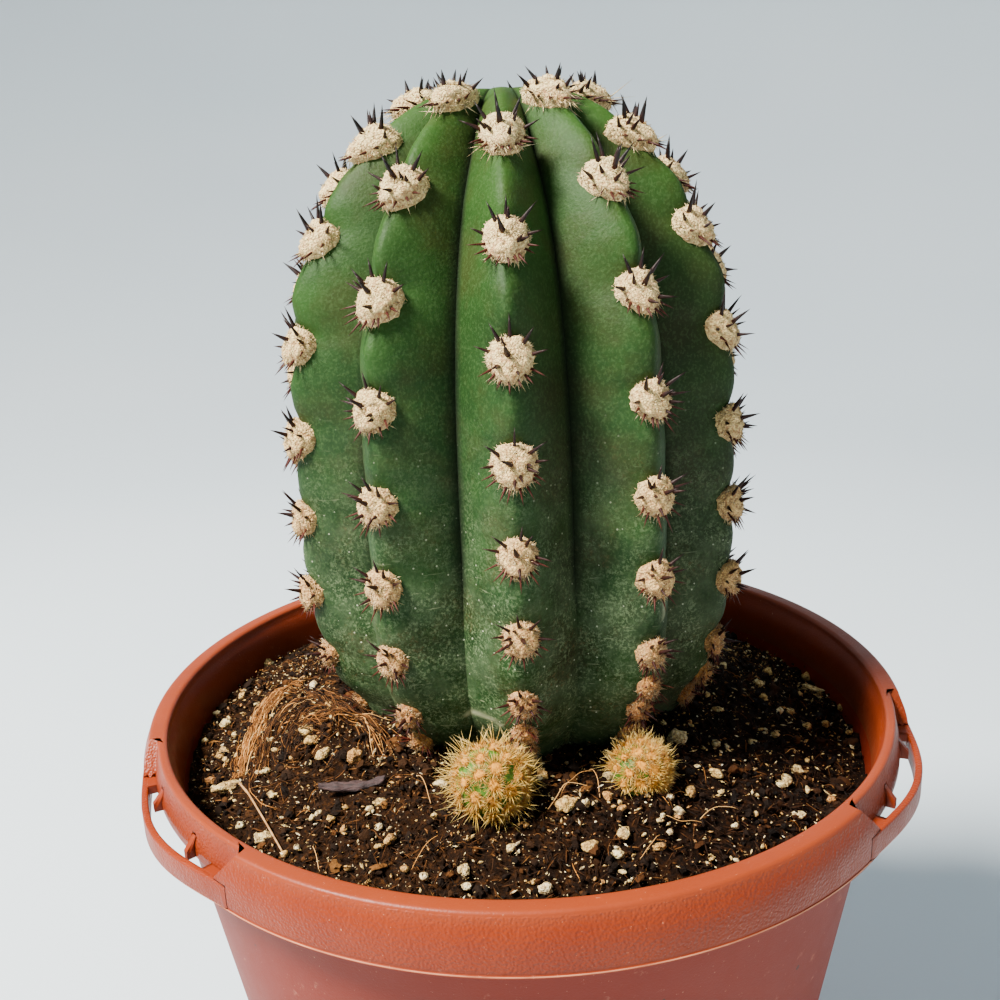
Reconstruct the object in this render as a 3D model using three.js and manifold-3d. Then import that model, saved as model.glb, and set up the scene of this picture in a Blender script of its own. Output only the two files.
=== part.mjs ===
import * as THREE from 'three';
import { mergeVertices } from 'three/addons/utils/BufferGeometryUtils.js';
import Module from 'manifold-3d';

// A ribbed cactus with two offsets, standing in soil in a moulded plastic pot.
// Sizes are in millimetres. The origin is the centre of the pot's underside, +Z is up
// and -Y is the front. Azimuths are in degrees from +X, anticlockwise seen from above.
// Heights named "above the lip" count from the top of the pot.

// Pot
const POT_HEIGHT = 130;
const LIP_INNER_RADIUS = 74.5;
const LIP_OUTER_RADIUS = 78.4;
const LIP_THICKNESS = 2;
const LIP_DEPTH_INSIDE = 3;
const LIP_EDGE = 0.9;
const BAND_RADIUS = 80;
const BAND_HEIGHT = 10.4;
const BAND_THICKNESS = 1.5;
const BODY_RADIUS_AT_LIP = 75.7;
const BODY_TAPER = 0.165;
const WALL = 1.5;
const FLOOR = 2.5;
const FOOT_BEVEL = 1.5;
const POT_SIDES = 48;
const DRAIN_HOLES = 6;
const DRAIN_HOLE_RADIUS = 2.6;
const DRAIN_CIRCLE_RADIUS = 34;

// Hanger slots: a recess in the rim band, a slot in its floor and a strap that bulges out
const HANGER_AZIMUTHS = [-147, -27, 93];
const RECESS_HALF_ARC = 16;
const RECESS_DEPTH = 5.6;
const RECESS_TOP_RADIUS = 76.5;
const RECESS_FLOOR_RADIUS = 77.6;
const RECESS_FLOOR = 1.6;
const RECESS_END_SLANT = 0.12;
const RECESS_SUNK = 0.6;
// The plain part of the band ends this far below the lip, where it starts to round in
const BAND_SHOULDER = 6.6;
const SLOT_HALF_ARC = 11.5;
const STRAP_HALF_ARC = 18;
const STRAP_BULGE = 2;
const STRAP_THICKNESS = 1.4;
const TOOTH_OFFSET = 6.8;
const TOOTH_REACH = 0.9;
const TOOTH_WIDTH = 1.2;
const TOOTH_SUNK = 1;

// Soil
const SEAT_GAP = 0.3;
const STEM_SEAT_GAP = 0.5;
const SOIL_DEPTH_AT_WALL = 12.5;
const MOUND_HEIGHT = 13;
const MOUND_INNER_RADIUS = 38;
const MOUND_OUTER_RADIUS = 73;
const SOIL_FALL_TO_FRONT = 0.03;
const SOIL_FALL_TO_RIGHT = 0.02;
const SOIL_FALL_FROM_RADIUS = 30;
const ROOT_BALL = { x: -44, y: -18, radius: 21, height: 4.5 };
const CLUMP_HEIGHT = 0.45;
const SOIL_SIDES = 46;
const SOIL_RINGS = 9;
const PERLITE_GRAINS = 26;
const PERLITE_EDGE_ROOM = 5;
const PERLITE_RADIUS_MIN = 1.1;
const PERLITE_RADIUS_MAX = 1.9;

// Stem
const RIBS = 11;
const FIRST_RIB_AZIMUTH = -91;
const RIB_SPACING = 360 / RIBS;
const SIDES_PER_RIB = 4;
const GROOVE_DEPTH = 9;
const GROOVE_SHARE_OF_RADIUS = 0.34;
// Part of a flank over which the crest is rounded
const CREST_ROUNDING = 0.2;
// Between two cushions the crest swells into a lobe, which is largest near this height above
// the lip and ends in a notch over the lower cushion
const LOBE = 1.2;
const LOBE_EXTRA = 1.8;
const LOBE_EXTRA_AT = 86;
const LOBE_EXTRA_REACH = 34;
const LOBE_SAG = 1.31;
const LOBE_SPREAD = 1.5;
const LOBE_FADE_FROM = 120;
const LOBE_FADE = 12;
const NOTCH = 0.6;
const NOTCH_ABOVE_CUSHION = 0.12;
// Rows of the stem: by the numbers of the cushions, from the foot up, and beyond them by
// shares of the crest's length
const ROOT_ROWS = [0, 0.06, 0.12];
const APEX_ROWS = [0.93, 0.965, 1];
const ROWS_AT_CUSHION = [-0.2, 0.35];
const LAST_NUMBER_WITH_TWO_ROWS = 10;
// Green crest of a rib: distance from the axis, and height above the lip
const CREST_OUTLINE = [
  [12, -17], [22, -12], [30, -5], [36, 3], [41, 13], [44, 27], [44.4, 44], [43.9, 60],
  [42.2, 76], [39, 89], [34, 100.5], [27, 110], [19, 116.5], [10, 120], [1.5, 119],
];
// Heights above the lip of the wool cushions, taken in turn by alternate ribs
const AREOLE_HEIGHTS = [
  117.6, 110.8, 103.2, 94.8, 85.6, 76.5, 68, 59.5, 51.5, 44, 36.5, 29, 22, 15.5, 9.5,
];
const FIRST_AREOLE_OF_RIB = [1, 0, 1, 0, 1, 0, 1, 0, 0, 1, 0];
const WOOL_RADIUS = 3.9;
const WOOL_THICKNESS = 2.3;
// Width of a cushion over its radius, at the apex and at the foot
const WOOL_WIDTH_YOUNG = 1.1;
const WOOL_WIDTH_OLD = 0.8;
const WOOL_SIDES = 6;
// Depth of a cushion's root, as a share of its thickness
const WOOL_ROOT = 2.2;
// How far a cushion hangs down over the flanks of its rib
const WOOL_DRAPE = 1.5;
const SPINES_AROUND = 3;
const SPINE_LENGTH = 4.4;
const SPINE_RADIUS = 0.42;
const SPINE_SUNK = 1.4;
const SPINE_TILT_MIN = 48;
const SPINE_TILT_MAX = 62;

// Offsets at the foot of the stem; heights above the lip are those of their centres
const OFFSETS = [
  { name: 'offset_front', x: -7, y: -44.2, height: 1.7, radius: 6.6 },
  { name: 'offset_right', x: 20.2, y: -38.9, height: -0.4, radius: 5.5 },
];
const TUFT_RADIUS = 2;
const TUFTS_ON_SPHERE = 22;
// Tufts and needles keep this height above the soil, and face the stem no more than this
const TUFT_ROOM = 2.3;
const NEEDLE_ROOM = 0.7;
const TUFT_TOWARDS_STEM = 0.45;
const NEEDLE_TOWARDS_STEM = 0.4;
const NEEDLES_PER_TUFT = 3;
const NEEDLE_LENGTH = 3.4;
const NEEDLE_RADIUS = 0.36;
const NEEDLE_SUNK = 1.5;
const NEEDLE_SPREAD = 0.8;

// Litter on the soil
const FIBRE_RING = { x: -44.5, y: -24, radius: 10.5, from: 60, to: 185 };
const FIBRES = 8;
const FIBRE_RADIUS = 0.5;
const FIBRE_ARCH = 2.6;
const FIBRE_SWEEP_MIN = 45;
const FIBRE_SWEEP_MAX = 70;
const BARK = { x: -33, y: -37, turn: 3, length: 12, width: 3.2, thickness: 1.3 };
const STRAW_ROUTE = [[-57, -25.5], [-54.5, -29], [-50, -37], [-45.5, -44.5]];
const STRAW_RADIUS = 0.45;

const FINISHES = {
  pot: { color: 0xa85536, roughness: 0.5, metalness: 0 },
  soil: { color: 0x3c2c1f, roughness: 1, metalness: 0 },
  stem: { color: 0x365c2c, roughness: 0.45, metalness: 0 },
  offset: { color: 0xc9ab55, roughness: 0.8, metalness: 0 },
  fibre: { color: 0xa9713f, roughness: 0.9, metalness: 0 },
  bark: { color: 0x4a3230, roughness: 0.9, metalness: 0 },
  straw: { color: 0xc0a070, roughness: 0.8, metalness: 0 },
};

// Joined surfaces are simplified by no more than this
const MESH_TOLERANCE = 0.04;

const LIP = POT_HEIGHT;
const GOLDEN_ANGLE = Math.PI * (3 - Math.sqrt(5));
const Z_AXIS = new THREE.Vector3(0, 0, 1);

const wasm = await Module();
wasm.setup();

const radians = THREE.MathUtils.degToRad;
const { clamp, lerp } = THREE.MathUtils;

function smooth(value) {
  const x = clamp(value, 0, 1);
  return x * x * (3 - 2 * x);
}

// Seeded random numbers from 0 to 1
function seededRandom(seed) {
  let state = seed;
  return () => {
    state = (state * 1664525 + 1013904223) % 4294967296;
    return state / 4294967296;
  };
}

// Closed solids

function solid(geometry) {
  const bare = geometry.clone();
  bare.deleteAttribute('normal');
  bare.deleteAttribute('uv');
  const merged = mergeVertices(bare, 1e-4);
  const position = merged.getAttribute('position');
  const corners = merged.index.array;
  const triangles = [];
  let volume = 0;
  const a = new THREE.Vector3();
  const b = new THREE.Vector3();
  const c = new THREE.Vector3();
  for (let i = 0; i < corners.length; i += 3) {
    const [p, q, r] = [corners[i], corners[i + 1], corners[i + 2]];
    if (p !== q && q !== r && r !== p) {
      triangles.push(p, q, r);
      a.fromBufferAttribute(position, p);
      b.fromBufferAttribute(position, q);
      c.fromBufferAttribute(position, r);
      volume += a.dot(b.cross(c));
    }
  }
  if (volume < 0) triangles.reverse();
  const mesh = new wasm.Mesh({
    numProp: 3,
    vertProperties: new Float32Array(position.array),
    triVerts: new Uint32Array(triangles),
  });
  return new wasm.Manifold(mesh);
}

// Joins a list of solids two by two, so that no solid grows large early
function fuse(solids) {
  if (solids.length === 1) return solids[0];
  const middle = Math.floor(solids.length / 2);
  return fuse(solids.slice(0, middle)).add(fuse(solids.slice(middle)));
}

function largestBody(manifold) {
  const bodies = manifold.decompose();
  return bodies.reduce((best, next) => (next.volume() > best.volume() ? next : best));
}

function meshOf(name, manifold, finish) {
  const { vertProperties, triVerts } = manifold.simplify(MESH_TOLERANCE).getMesh();
  const geometry = new THREE.BufferGeometry();
  geometry.setAttribute('position', new THREE.BufferAttribute(vertProperties, 3));
  geometry.setIndex(new THREE.BufferAttribute(triVerts, 1));
  geometry.computeVertexNormals();
  const mesh = new THREE.Mesh(geometry, new THREE.MeshStandardMaterial(finish));
  mesh.name = name;
  return mesh;
}

function centreOf(ring) {
  const centre = new THREE.Vector3();
  ring.forEach((point) => centre.add(point));
  return centre.divideScalar(ring.length);
}

// A closed surface of stacked rings with equal numbers of points. The first and the last
// ring are each closed by a fan, to the ring's centre or to a given root and crown.
function ringedSolid(rings, crown = centreOf(rings[rings.length - 1]), root = centreOf(rings[0])) {
  const sides = rings[0].length;
  const points = [...rings.flat(), root, crown];
  const bottom = points.length - 2;
  const top = points.length - 1;
  const index = [];
  const last = (rings.length - 1) * sides;
  for (let side = 0; side < sides; side += 1) {
    const next = (side + 1) % sides;
    for (let low = 0; low < last; low += sides) {
      const high = low + sides;
      index.push(low + side, low + next, high + next);
      index.push(low + side, high + next, high + side);
    }
    index.push(bottom, next, side);
    index.push(top, last + side, last + next);
  }
  const geometry = new THREE.BufferGeometry();
  const coordinates = points.flatMap((point) => point.toArray());
  geometry.setAttribute('position', new THREE.Float32BufferAttribute(coordinates, 3));
  geometry.setIndex(index);
  return solid(geometry);
}

// A closed outline of [radius, height] points, swept about +Z to both sides of an azimuth.
// A point may give a third value, by which its own arc is longer or shorter.
function arcSolid(azimuth, halfArc, steps, outlineAt) {
  const rings = [];
  for (let step = 0; step <= steps; step += 1) {
    const offset = halfArc * (2 * (step / steps) - 1);
    rings.push(outlineAt(offset).map(([radius, height, stretch = 1]) => (
      new THREE.Vector3(radius, 0, height).applyAxisAngle(Z_AXIS, radians(azimuth + offset * stretch))
    )));
  }
  return ringedSolid(rings);
}

// A three-sided spine that points along a direction, with its root sunk below its foot
function spike(foot, direction, radius, length, sunk) {
  const geometry = new THREE.ConeGeometry(radius, length + sunk, 3, 1);
  geometry.translate(0, (length - sunk) / 2, 0);
  const turn = new THREE.Quaternion();
  turn.setFromUnitVectors(new THREE.Vector3(0, 1, 0), direction);
  geometry.applyQuaternion(turn);
  geometry.translate(foot.x, foot.y, foot.z);
  return solid(geometry);
}

// A low dome of wool on a surface, with its pointed root sunk into it
function cushion(place, normal, along, across, radiusAlong, radiusAcross, thickness, drape = 0) {
  const edge = [];
  for (let side = 0; side < WOOL_SIDES; side += 1) {
    const angle = (side / WOOL_SIDES) * 2 * Math.PI;
    const rise = thickness * 0.6 - drape * Math.abs(Math.cos(angle));
    const point = place.clone().addScaledVector(normal, rise);
    point.addScaledVector(across, Math.cos(angle) * radiusAcross);
    point.addScaledVector(along, Math.sin(angle) * radiusAlong);
    edge.push(point);
  }
  const root = place.clone().addScaledVector(normal, -thickness * WOOL_ROOT);
  const crown = place.clone().addScaledVector(normal, thickness * 1.1);
  return ringedSolid([edge], crown, root);
}

// Pot

const BASE_RADIUS = BODY_RADIUS_AT_LIP - BODY_TAPER * POT_HEIGHT;

function wallRadius(height) {
  return BODY_RADIUS_AT_LIP - BODY_TAPER * (LIP - height);
}

// Outside of the rim band, from its lower edge up to the lip
const BAND_OUTLINE = [
  [BAND_RADIUS, LIP - BAND_HEIGHT],
  [BAND_RADIUS, LIP - BAND_SHOULDER],
  [BAND_RADIUS - 0.5, LIP - BAND_SHOULDER / 2],
  [LIP_OUTER_RADIUS, LIP - LIP_EDGE],
];

function bandRadius(height) {
  const above = BAND_OUTLINE.findIndex(([, z]) => z >= height);
  if (above <= 0) return BAND_RADIUS;
  const [lowRadius, low] = BAND_OUTLINE[above - 1];
  const [highRadius, high] = BAND_OUTLINE[above];
  return lerp(lowRadius, highRadius, (height - low) / (high - low));
}

function potShell() {
  const roof = LIP - LIP_THICKNESS;
  const outline = [
    [0, 0],
    [BASE_RADIUS - FOOT_BEVEL, 0],
    [BASE_RADIUS, FOOT_BEVEL],
    [wallRadius(roof), roof],
    [bandRadius(roof) - BAND_THICKNESS, roof],
    [BAND_RADIUS - BAND_THICKNESS, LIP - BAND_HEIGHT],
    ...BAND_OUTLINE,
    [LIP_OUTER_RADIUS - LIP_EDGE, LIP],
    [LIP_INNER_RADIUS + LIP_EDGE, LIP],
    [LIP_INNER_RADIUS, LIP - LIP_EDGE],
    [wallRadius(LIP - LIP_DEPTH_INSIDE) - WALL, LIP - LIP_DEPTH_INSIDE],
    [wallRadius(FLOOR) - WALL, FLOOR],
    [0, FLOOR],
  ];
  const points = outline.map(([r, z]) => new THREE.Vector2(r, z));
  const geometry = new THREE.LatheGeometry(points, POT_SIDES);
  geometry.rotateX(Math.PI / 2);
  return solid(geometry);
}

// Two teeth on the wall of each recess catch the hanger's clip
function tooth(azimuth) {
  const top = LIP - LIP_THICKNESS;
  const bottom = LIP - RECESS_DEPTH - RECESS_FLOOR;
  const outline = new THREE.Shape([
    new THREE.Vector2(RECESS_TOP_RADIUS - TOOTH_SUNK, top),
    new THREE.Vector2(RECESS_FLOOR_RADIUS - TOOTH_SUNK, bottom),
    new THREE.Vector2(RECESS_FLOOR_RADIUS + TOOTH_REACH, bottom),
    new THREE.Vector2(RECESS_FLOOR_RADIUS + TOOTH_REACH, LIP - RECESS_DEPTH),
  ]);
  const geometry = new THREE.ExtrudeGeometry(outline, { depth: TOOTH_WIDTH, bevelEnabled: false });
  geometry.translate(0, 0, -TOOTH_WIDTH / 2);
  geometry.rotateX(Math.PI / 2);
  geometry.rotateZ(radians(azimuth));
  return solid(geometry);
}

function withHanger(pot, azimuth) {
  const bandBottom = LIP - BAND_HEIGHT;
  const floorTop = LIP - RECESS_DEPTH;
  const floorBottom = floorTop - RECESS_FLOOR;
  const farRadius = BAND_RADIUS + 10;
  const rootRadius = wallRadius(floorTop) - RECESS_SUNK;
  const fillRadius = BAND_RADIUS - RECESS_SUNK;
  const fillTop = LIP - LIP_DEPTH_INSIDE;
  const bulge = (offset) => (
    STRAP_BULGE * Math.cos((offset / STRAP_HALF_ARC) * (Math.PI / 2)) ** 2
  );
  const strapInside = (offset) => BAND_RADIUS - STRAP_THICKNESS + bulge(offset);

  const filling = arcSolid(azimuth, RECESS_HALF_ARC * (1 + RECESS_END_SLANT), 6, () => [
    [rootRadius, floorBottom], [fillRadius, floorBottom],
    [fillRadius, fillTop], [rootRadius, fillTop],
  ]);
  const strap = arcSolid(azimuth, STRAP_HALF_ARC, 8, (offset) => [
    [strapInside(offset), bandBottom], [BAND_RADIUS + bulge(offset), bandBottom],
    [BAND_RADIUS + bulge(offset), LIP - BAND_SHOULDER],
    [bandRadius(floorTop) + bulge(offset), floorTop],
    [strapInside(offset), floorTop],
  ]);
  const recess = arcSolid(azimuth, RECESS_HALF_ARC, 6, () => [
    [RECESS_FLOOR_RADIUS, floorTop, 1 - RECESS_END_SLANT],
    [farRadius, floorTop, 1 - RECESS_END_SLANT],
    [farRadius, LIP + 1, 1 + RECESS_END_SLANT],
    [RECESS_TOP_RADIUS, LIP + 1, 1 + RECESS_END_SLANT],
  ]);
  const slot = arcSolid(azimuth, SLOT_HALF_ARC, 6, (offset) => [
    [RECESS_FLOOR_RADIUS, bandBottom - 1], [strapInside(offset), bandBottom - 1],
    [strapInside(offset), floorTop + 0.1], [RECESS_FLOOR_RADIUS, floorTop + 0.1],
  ]);
  const teeth = [-TOOTH_OFFSET, TOOTH_OFFSET].map((offset) => tooth(azimuth + offset));
  return pot.add(filling).add(strap).subtract(recess).subtract(slot).add(fuse(teeth));
}

function buildPot() {
  let pot = HANGER_AZIMUTHS.reduce(withHanger, potShell());
  for (let hole = 0; hole < DRAIN_HOLES; hole += 1) {
    const angle = (hole / DRAIN_HOLES) * 2 * Math.PI;
    const drill = new THREE.CylinderGeometry(DRAIN_HOLE_RADIUS, DRAIN_HOLE_RADIUS, 4 * FLOOR, 8);
    drill.rotateX(Math.PI / 2);
    drill.translate(DRAIN_CIRCLE_RADIUS * Math.cos(angle), DRAIN_CIRCLE_RADIUS * Math.sin(angle), 0);
    pot = pot.subtract(solid(drill));
  }
  return largestBody(pot);
}

// Stem

const CREST = new THREE.SplineCurve(
  CREST_OUTLINE.map(([r, z]) => new THREE.Vector2(r, LIP + z)),
);

// Place along the crest, from 0 at the root to 1 at the apex, where it reaches a height
function crestShareAt(height) {
  let [low, high] = [0, 0.97];
  for (let step = 0; step < 40; step += 1) {
    const middle = (low + high) / 2;
    if (CREST.getPointAt(middle).y < height) low = middle;
    else high = middle;
  }
  return low;
}

const AREOLE_SHARES = AREOLE_HEIGHTS.map((height) => crestShareAt(LIP + height));

// The number of a place among the cushions, with its fraction; it goes on past both ends
function areoleNumber(share) {
  const last = AREOLE_SHARES.length - 1;
  const above = AREOLE_SHARES.findLastIndex((other) => other >= share);
  const from = clamp(above, 0, last - 1);
  const [high, low] = [AREOLE_SHARES[from], AREOLE_SHARES[from + 1]];
  return from + (high - share) / (high - low);
}

function shareOfNumber(number) {
  const from = clamp(Math.floor(number), 0, AREOLE_SHARES.length - 2);
  return lerp(AREOLE_SHARES[from], AREOLE_SHARES[from + 1], number - from);
}

// How far the crest of a rib stands out from the plain outline
function lobe(rib, share) {
  const height = CREST.getPointAt(share).y - LIP;
  const turns = (areoleNumber(share) - FIRST_AREOLE_OF_RIB[rib]) / 2 + NOTCH_ABOVE_CUSHION;
  const phase = turns - Math.floor(turns);
  const extra = LOBE_EXTRA * smooth(1 - Math.abs(height - LOBE_EXTRA_AT) / LOBE_EXTRA_REACH);
  const swell = (LOBE + extra) * Math.sin(Math.PI * phase ** LOBE_SAG) - NOTCH;
  return swell * smooth((LOBE_FADE_FROM - height) / LOBE_FADE);
}

// 0 on a crest and 1 in a groove, with nearly flat flanks between them
function grooveShare(offCrest) {
  const rounded = Math.hypot(offCrest, CREST_ROUNDING) - CREST_ROUNDING;
  return rounded / (Math.hypot(1, CREST_ROUNDING) - CREST_ROUNDING);
}

function stemRows() {
  const numbered = [];
  for (let number = AREOLE_HEIGHTS.length - 1; number >= 0; number -= 1) {
    const steps = number <= LAST_NUMBER_WITH_TWO_ROWS ? ROWS_AT_CUSHION : [0];
    steps.forEach((step) => numbered.push(shareOfNumber(number + step)));
  }
  numbered.sort((a, b) => a - b);
  return [...ROOT_ROWS, ...numbered, ...APEX_ROWS];
}

function ribbedBody(clearance) {
  const sides = RIBS * SIDES_PER_RIB;
  const rings = stemRows().map((share) => {
    const crest = CREST.getPointAt(share);
    const tangent = CREST.getTangentAt(share);
    const depth = Math.min(GROOVE_DEPTH, GROOVE_SHARE_OF_RADIUS * crest.x);
    const ring = [];
    for (let side = 0; side < sides; side += 1) {
      const position = side / SIDES_PER_RIB;
      const rib = Math.round(position) % RIBS;
      const offCrest = Math.abs(position - Math.round(position)) * 2;
      const azimuth = radians(FIRST_RIB_AZIMUTH + position * RIB_SPACING);
      const groove = depth * grooveShare(offCrest);
      const swell = lobe(rib, share) * (1 - offCrest) ** LOBE_SPREAD;
      const radius = crest.x - groove + swell + clearance * tangent.y;
      const [x, y] = [radius * Math.cos(azimuth), radius * Math.sin(azimuth)];
      ring.push(new THREE.Vector3(x, y, crest.y - clearance * tangent.x));
    }
    return ring;
  });
  return ringedSolid(rings);
}

// A point of a rib's crest in its own upright plane: distance from the axis, and height
function crestPoint(rib, share) {
  const crest = CREST.getPointAt(share);
  return new THREE.Vector2(crest.x + lobe(rib, share), crest.y);
}

function areole(rib, number, random) {
  const share = AREOLE_SHARES[number];
  const step = 0.01;
  const crest = crestPoint(rib, share);
  const tangent = crestPoint(rib, share + step).sub(crestPoint(rib, share - step)).normalize();
  const azimuth = radians(FIRST_RIB_AZIMUTH + rib * RIB_SPACING);
  const outward = new THREE.Vector3(Math.cos(azimuth), Math.sin(azimuth), 0);
  const across = new THREE.Vector3(-Math.sin(azimuth), Math.cos(azimuth), 0);
  const along = outward.clone().multiplyScalar(tangent.x).addScaledVector(Z_AXIS, tangent.y);
  const normal = outward.clone().multiplyScalar(tangent.y).addScaledVector(Z_AXIS, -tangent.x);
  const place = outward.clone().multiplyScalar(crest.x);
  place.z = crest.y;

  const age = number / (AREOLE_HEIGHTS.length - 1);
  const width = WOOL_RADIUS * lerp(WOOL_WIDTH_YOUNG, WOOL_WIDTH_OLD, age);
  const wool = cushion(
    place, normal, along, across, WOOL_RADIUS, width, WOOL_THICKNESS, WOOL_DRAPE,
  );
  const pieces = [wool];
  for (let spine = 0; spine < SPINES_AROUND; spine += 1) {
    const angle = ((spine + 0.5 + 0.5 * (random() - 0.5)) / SPINES_AROUND) * 2 * Math.PI;
    const radial = across.clone().multiplyScalar(Math.cos(angle));
    radial.addScaledVector(along, Math.sin(angle));
    const tilt = radians(lerp(SPINE_TILT_MIN, SPINE_TILT_MAX, random()));
    const direction = normal.clone().multiplyScalar(Math.cos(tilt));
    direction.addScaledVector(radial, Math.sin(tilt));
    const foot = place.clone().addScaledVector(radial, WOOL_RADIUS * 0.5);
    const lower = 0.5 * WOOL_DRAPE * Math.abs(Math.cos(angle));
    foot.addScaledVector(normal, WOOL_THICKNESS * 0.7 - lower);
    const length = SPINE_LENGTH * lerp(0.8, 1, random());
    pieces.push(spike(foot, direction, SPINE_RADIUS, length, SPINE_SUNK));
  }
  const centre = place.clone().addScaledVector(normal, WOOL_THICKNESS);
  const lean = normal.clone().addScaledVector(along, lerp(-0.3, 0.5, random())).normalize();
  pieces.push(spike(centre, lean, SPINE_RADIUS, SPINE_LENGTH * 0.8, SPINE_SUNK));
  return fuse(pieces);
}

function buildStem() {
  const random = seededRandom(11);
  const areoles = [];
  for (let rib = 0; rib < RIBS; rib += 1) {
    for (let number = FIRST_AREOLE_OF_RIB[rib]; number < AREOLE_HEIGHTS.length; number += 2) {
      areoles.push(areole(rib, number, random));
    }
  }
  return largestBody(ribbedBody(0).add(fuse(areoles)));
}

// Offsets

function offsetCentre(offset) {
  return new THREE.Vector3(offset.x, offset.y, LIP + offset.height);
}

function offsetBall(offset, clearance) {
  const geometry = new THREE.SphereGeometry(offset.radius + clearance, 10, 7);
  geometry.rotateX(Math.PI / 2);
  geometry.translate(offset.x, offset.y, LIP + offset.height);
  return solid(geometry);
}

function aboveSoil(point) {
  return point.z - soilHeight(point.x, point.y);
}

// Wool tufts with needles cover the part of each offset that is clear of soil and stem
function buildOffset(offset, seed) {
  const random = seededRandom(seed);
  const centre = offsetCentre(offset);
  const towardsStem = new THREE.Vector3(-offset.x, -offset.y, 0).normalize();
  const pieces = [offsetBall(offset, 0)];
  for (let tuft = 0; tuft < TUFTS_ON_SPHERE; tuft += 1) {
    const height = 1 - (2 * (tuft + 0.5)) / TUFTS_ON_SPHERE;
    const angle = tuft * GOLDEN_ANGLE;
    const width = Math.sqrt(1 - height * height);
    const normal = new THREE.Vector3(width * Math.cos(angle), width * Math.sin(angle), height);
    const place = centre.clone().addScaledVector(normal, offset.radius * 0.96);
    if (aboveSoil(place) > TUFT_ROOM && normal.dot(towardsStem) < TUFT_TOWARDS_STEM) {
      const across = new THREE.Vector3().crossVectors(Z_AXIS, normal).normalize();
      const along = new THREE.Vector3().crossVectors(normal, across);
      pieces.push(cushion(place, normal, along, across, TUFT_RADIUS, TUFT_RADIUS, 1));
      for (let needle = 0; needle < NEEDLES_PER_TUFT; needle += 1) {
        const turn = ((needle + random()) / NEEDLES_PER_TUFT) * 2 * Math.PI;
        const direction = normal.clone();
        direction.addScaledVector(across, NEEDLE_SPREAD * Math.cos(turn));
        direction.addScaledVector(along, NEEDLE_SPREAD * Math.sin(turn));
        direction.normalize();
        const foot = place.clone().addScaledVector(normal, 0.7);
        foot.addScaledVector(direction, 0.6);
        const tip = foot.clone().addScaledVector(direction, NEEDLE_LENGTH);
        if (aboveSoil(tip) > NEEDLE_ROOM && direction.dot(towardsStem) < NEEDLE_TOWARDS_STEM) {
          pieces.push(spike(foot, direction, NEEDLE_RADIUS, NEEDLE_LENGTH, NEEDLE_SUNK));
        }
      }
    }
  }
  return largestBody(fuse(pieces));
}

// Soil

// Small clods: waves in three directions that never line up
function clods(x, y) {
  const first = Math.sin(0.61 * x + 0.23 * y + 1.1) * Math.sin(0.19 * x - 0.57 * y);
  const second = Math.sin(0.93 * y - 0.41 * x + 2.3) * Math.cos(0.77 * x + 0.31 * y);
  return first + second;
}

function soilHeight(x, y) {
  const distance = Math.hypot(x, y);
  const share = (MOUND_OUTER_RADIUS - distance) / (MOUND_OUTER_RADIUS - MOUND_INNER_RADIUS);
  const mound = MOUND_HEIGHT * smooth(share) - SOIL_DEPTH_AT_WALL;
  const slope = SOIL_FALL_TO_FRONT * y - SOIL_FALL_TO_RIGHT * x;
  const fromBall = Math.hypot(x - ROOT_BALL.x, y - ROOT_BALL.y) / ROOT_BALL.radius;
  const ball = ROOT_BALL.height * smooth(1 - fromBall);
  const fall = slope * smooth(distance / SOIL_FALL_FROM_RADIUS);
  return LIP + mound + fall + ball + CLUMP_HEIGHT * clods(x, y);
}

function soilRing(radiusAt, heightAt) {
  const ring = [];
  for (let side = 0; side < SOIL_SIDES; side += 1) {
    const angle = (side / SOIL_SIDES) * 2 * Math.PI;
    const radius = radiusAt(angle);
    const [x, y] = [radius * Math.cos(angle), radius * Math.sin(angle)];
    ring.push(new THREE.Vector3(x, y, heightAt(x, y)));
  }
  return ring;
}

function soilMound() {
  const bottom = FLOOR + SEAT_GAP;
  const insideRadius = (height) => wallRadius(height) - WALL - SEAT_GAP;
  const facet = Math.cos(Math.PI / POT_SIDES);
  const edge = (angle) => {
    const reach = MOUND_OUTER_RADIUS - 1;
    const height = soilHeight(reach * Math.cos(angle), reach * Math.sin(angle));
    return insideRadius(height) * facet;
  };
  const rings = [soilRing(() => insideRadius(bottom) * facet, () => bottom)];
  for (let ring = 0; ring < SOIL_RINGS; ring += 1) {
    const share = 1 - ring / SOIL_RINGS;
    rings.push(soilRing((angle) => edge(angle) * share, soilHeight));
  }
  return ringedSolid(rings);
}

// Perlite grains: rough lumps, half sunk, spread evenly between the stem and the wall
function perlite() {
  const random = seededRandom(5);
  const grains = [];
  const inner = MOUND_INNER_RADIUS + PERLITE_EDGE_ROOM;
  const outer = MOUND_OUTER_RADIUS - PERLITE_EDGE_ROOM;
  for (let grain = 0; grain < PERLITE_GRAINS; grain += 1) {
    const share = (grain + 0.5) / PERLITE_GRAINS;
    const distance = Math.sqrt(lerp(inner ** 2, outer ** 2, share));
    const angle = grain * GOLDEN_ANGLE + 0.3 * random();
    const [x, y] = [distance * Math.cos(angle), distance * Math.sin(angle)];
    const radius = lerp(PERLITE_RADIUS_MIN, PERLITE_RADIUS_MAX, random() ** 2);
    const geometry = new THREE.OctahedronGeometry(radius, 0);
    geometry.scale(1, lerp(0.7, 1.2, random()), 0.8);
    geometry.rotateZ(random() * Math.PI);
    geometry.rotateX(random());
    geometry.translate(x, y, soilHeight(x, y) + 0.2 * radius);
    grains.push(solid(geometry));
  }
  return fuse(grains);
}

// Litter

function fibrePoint(angle, reach, lift) {
  const x = FIBRE_RING.x + reach * Math.cos(radians(angle));
  const y = FIBRE_RING.y + reach * Math.sin(radians(angle));
  return new THREE.Vector3(x, y, soilHeight(x, y) + lift);
}

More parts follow.
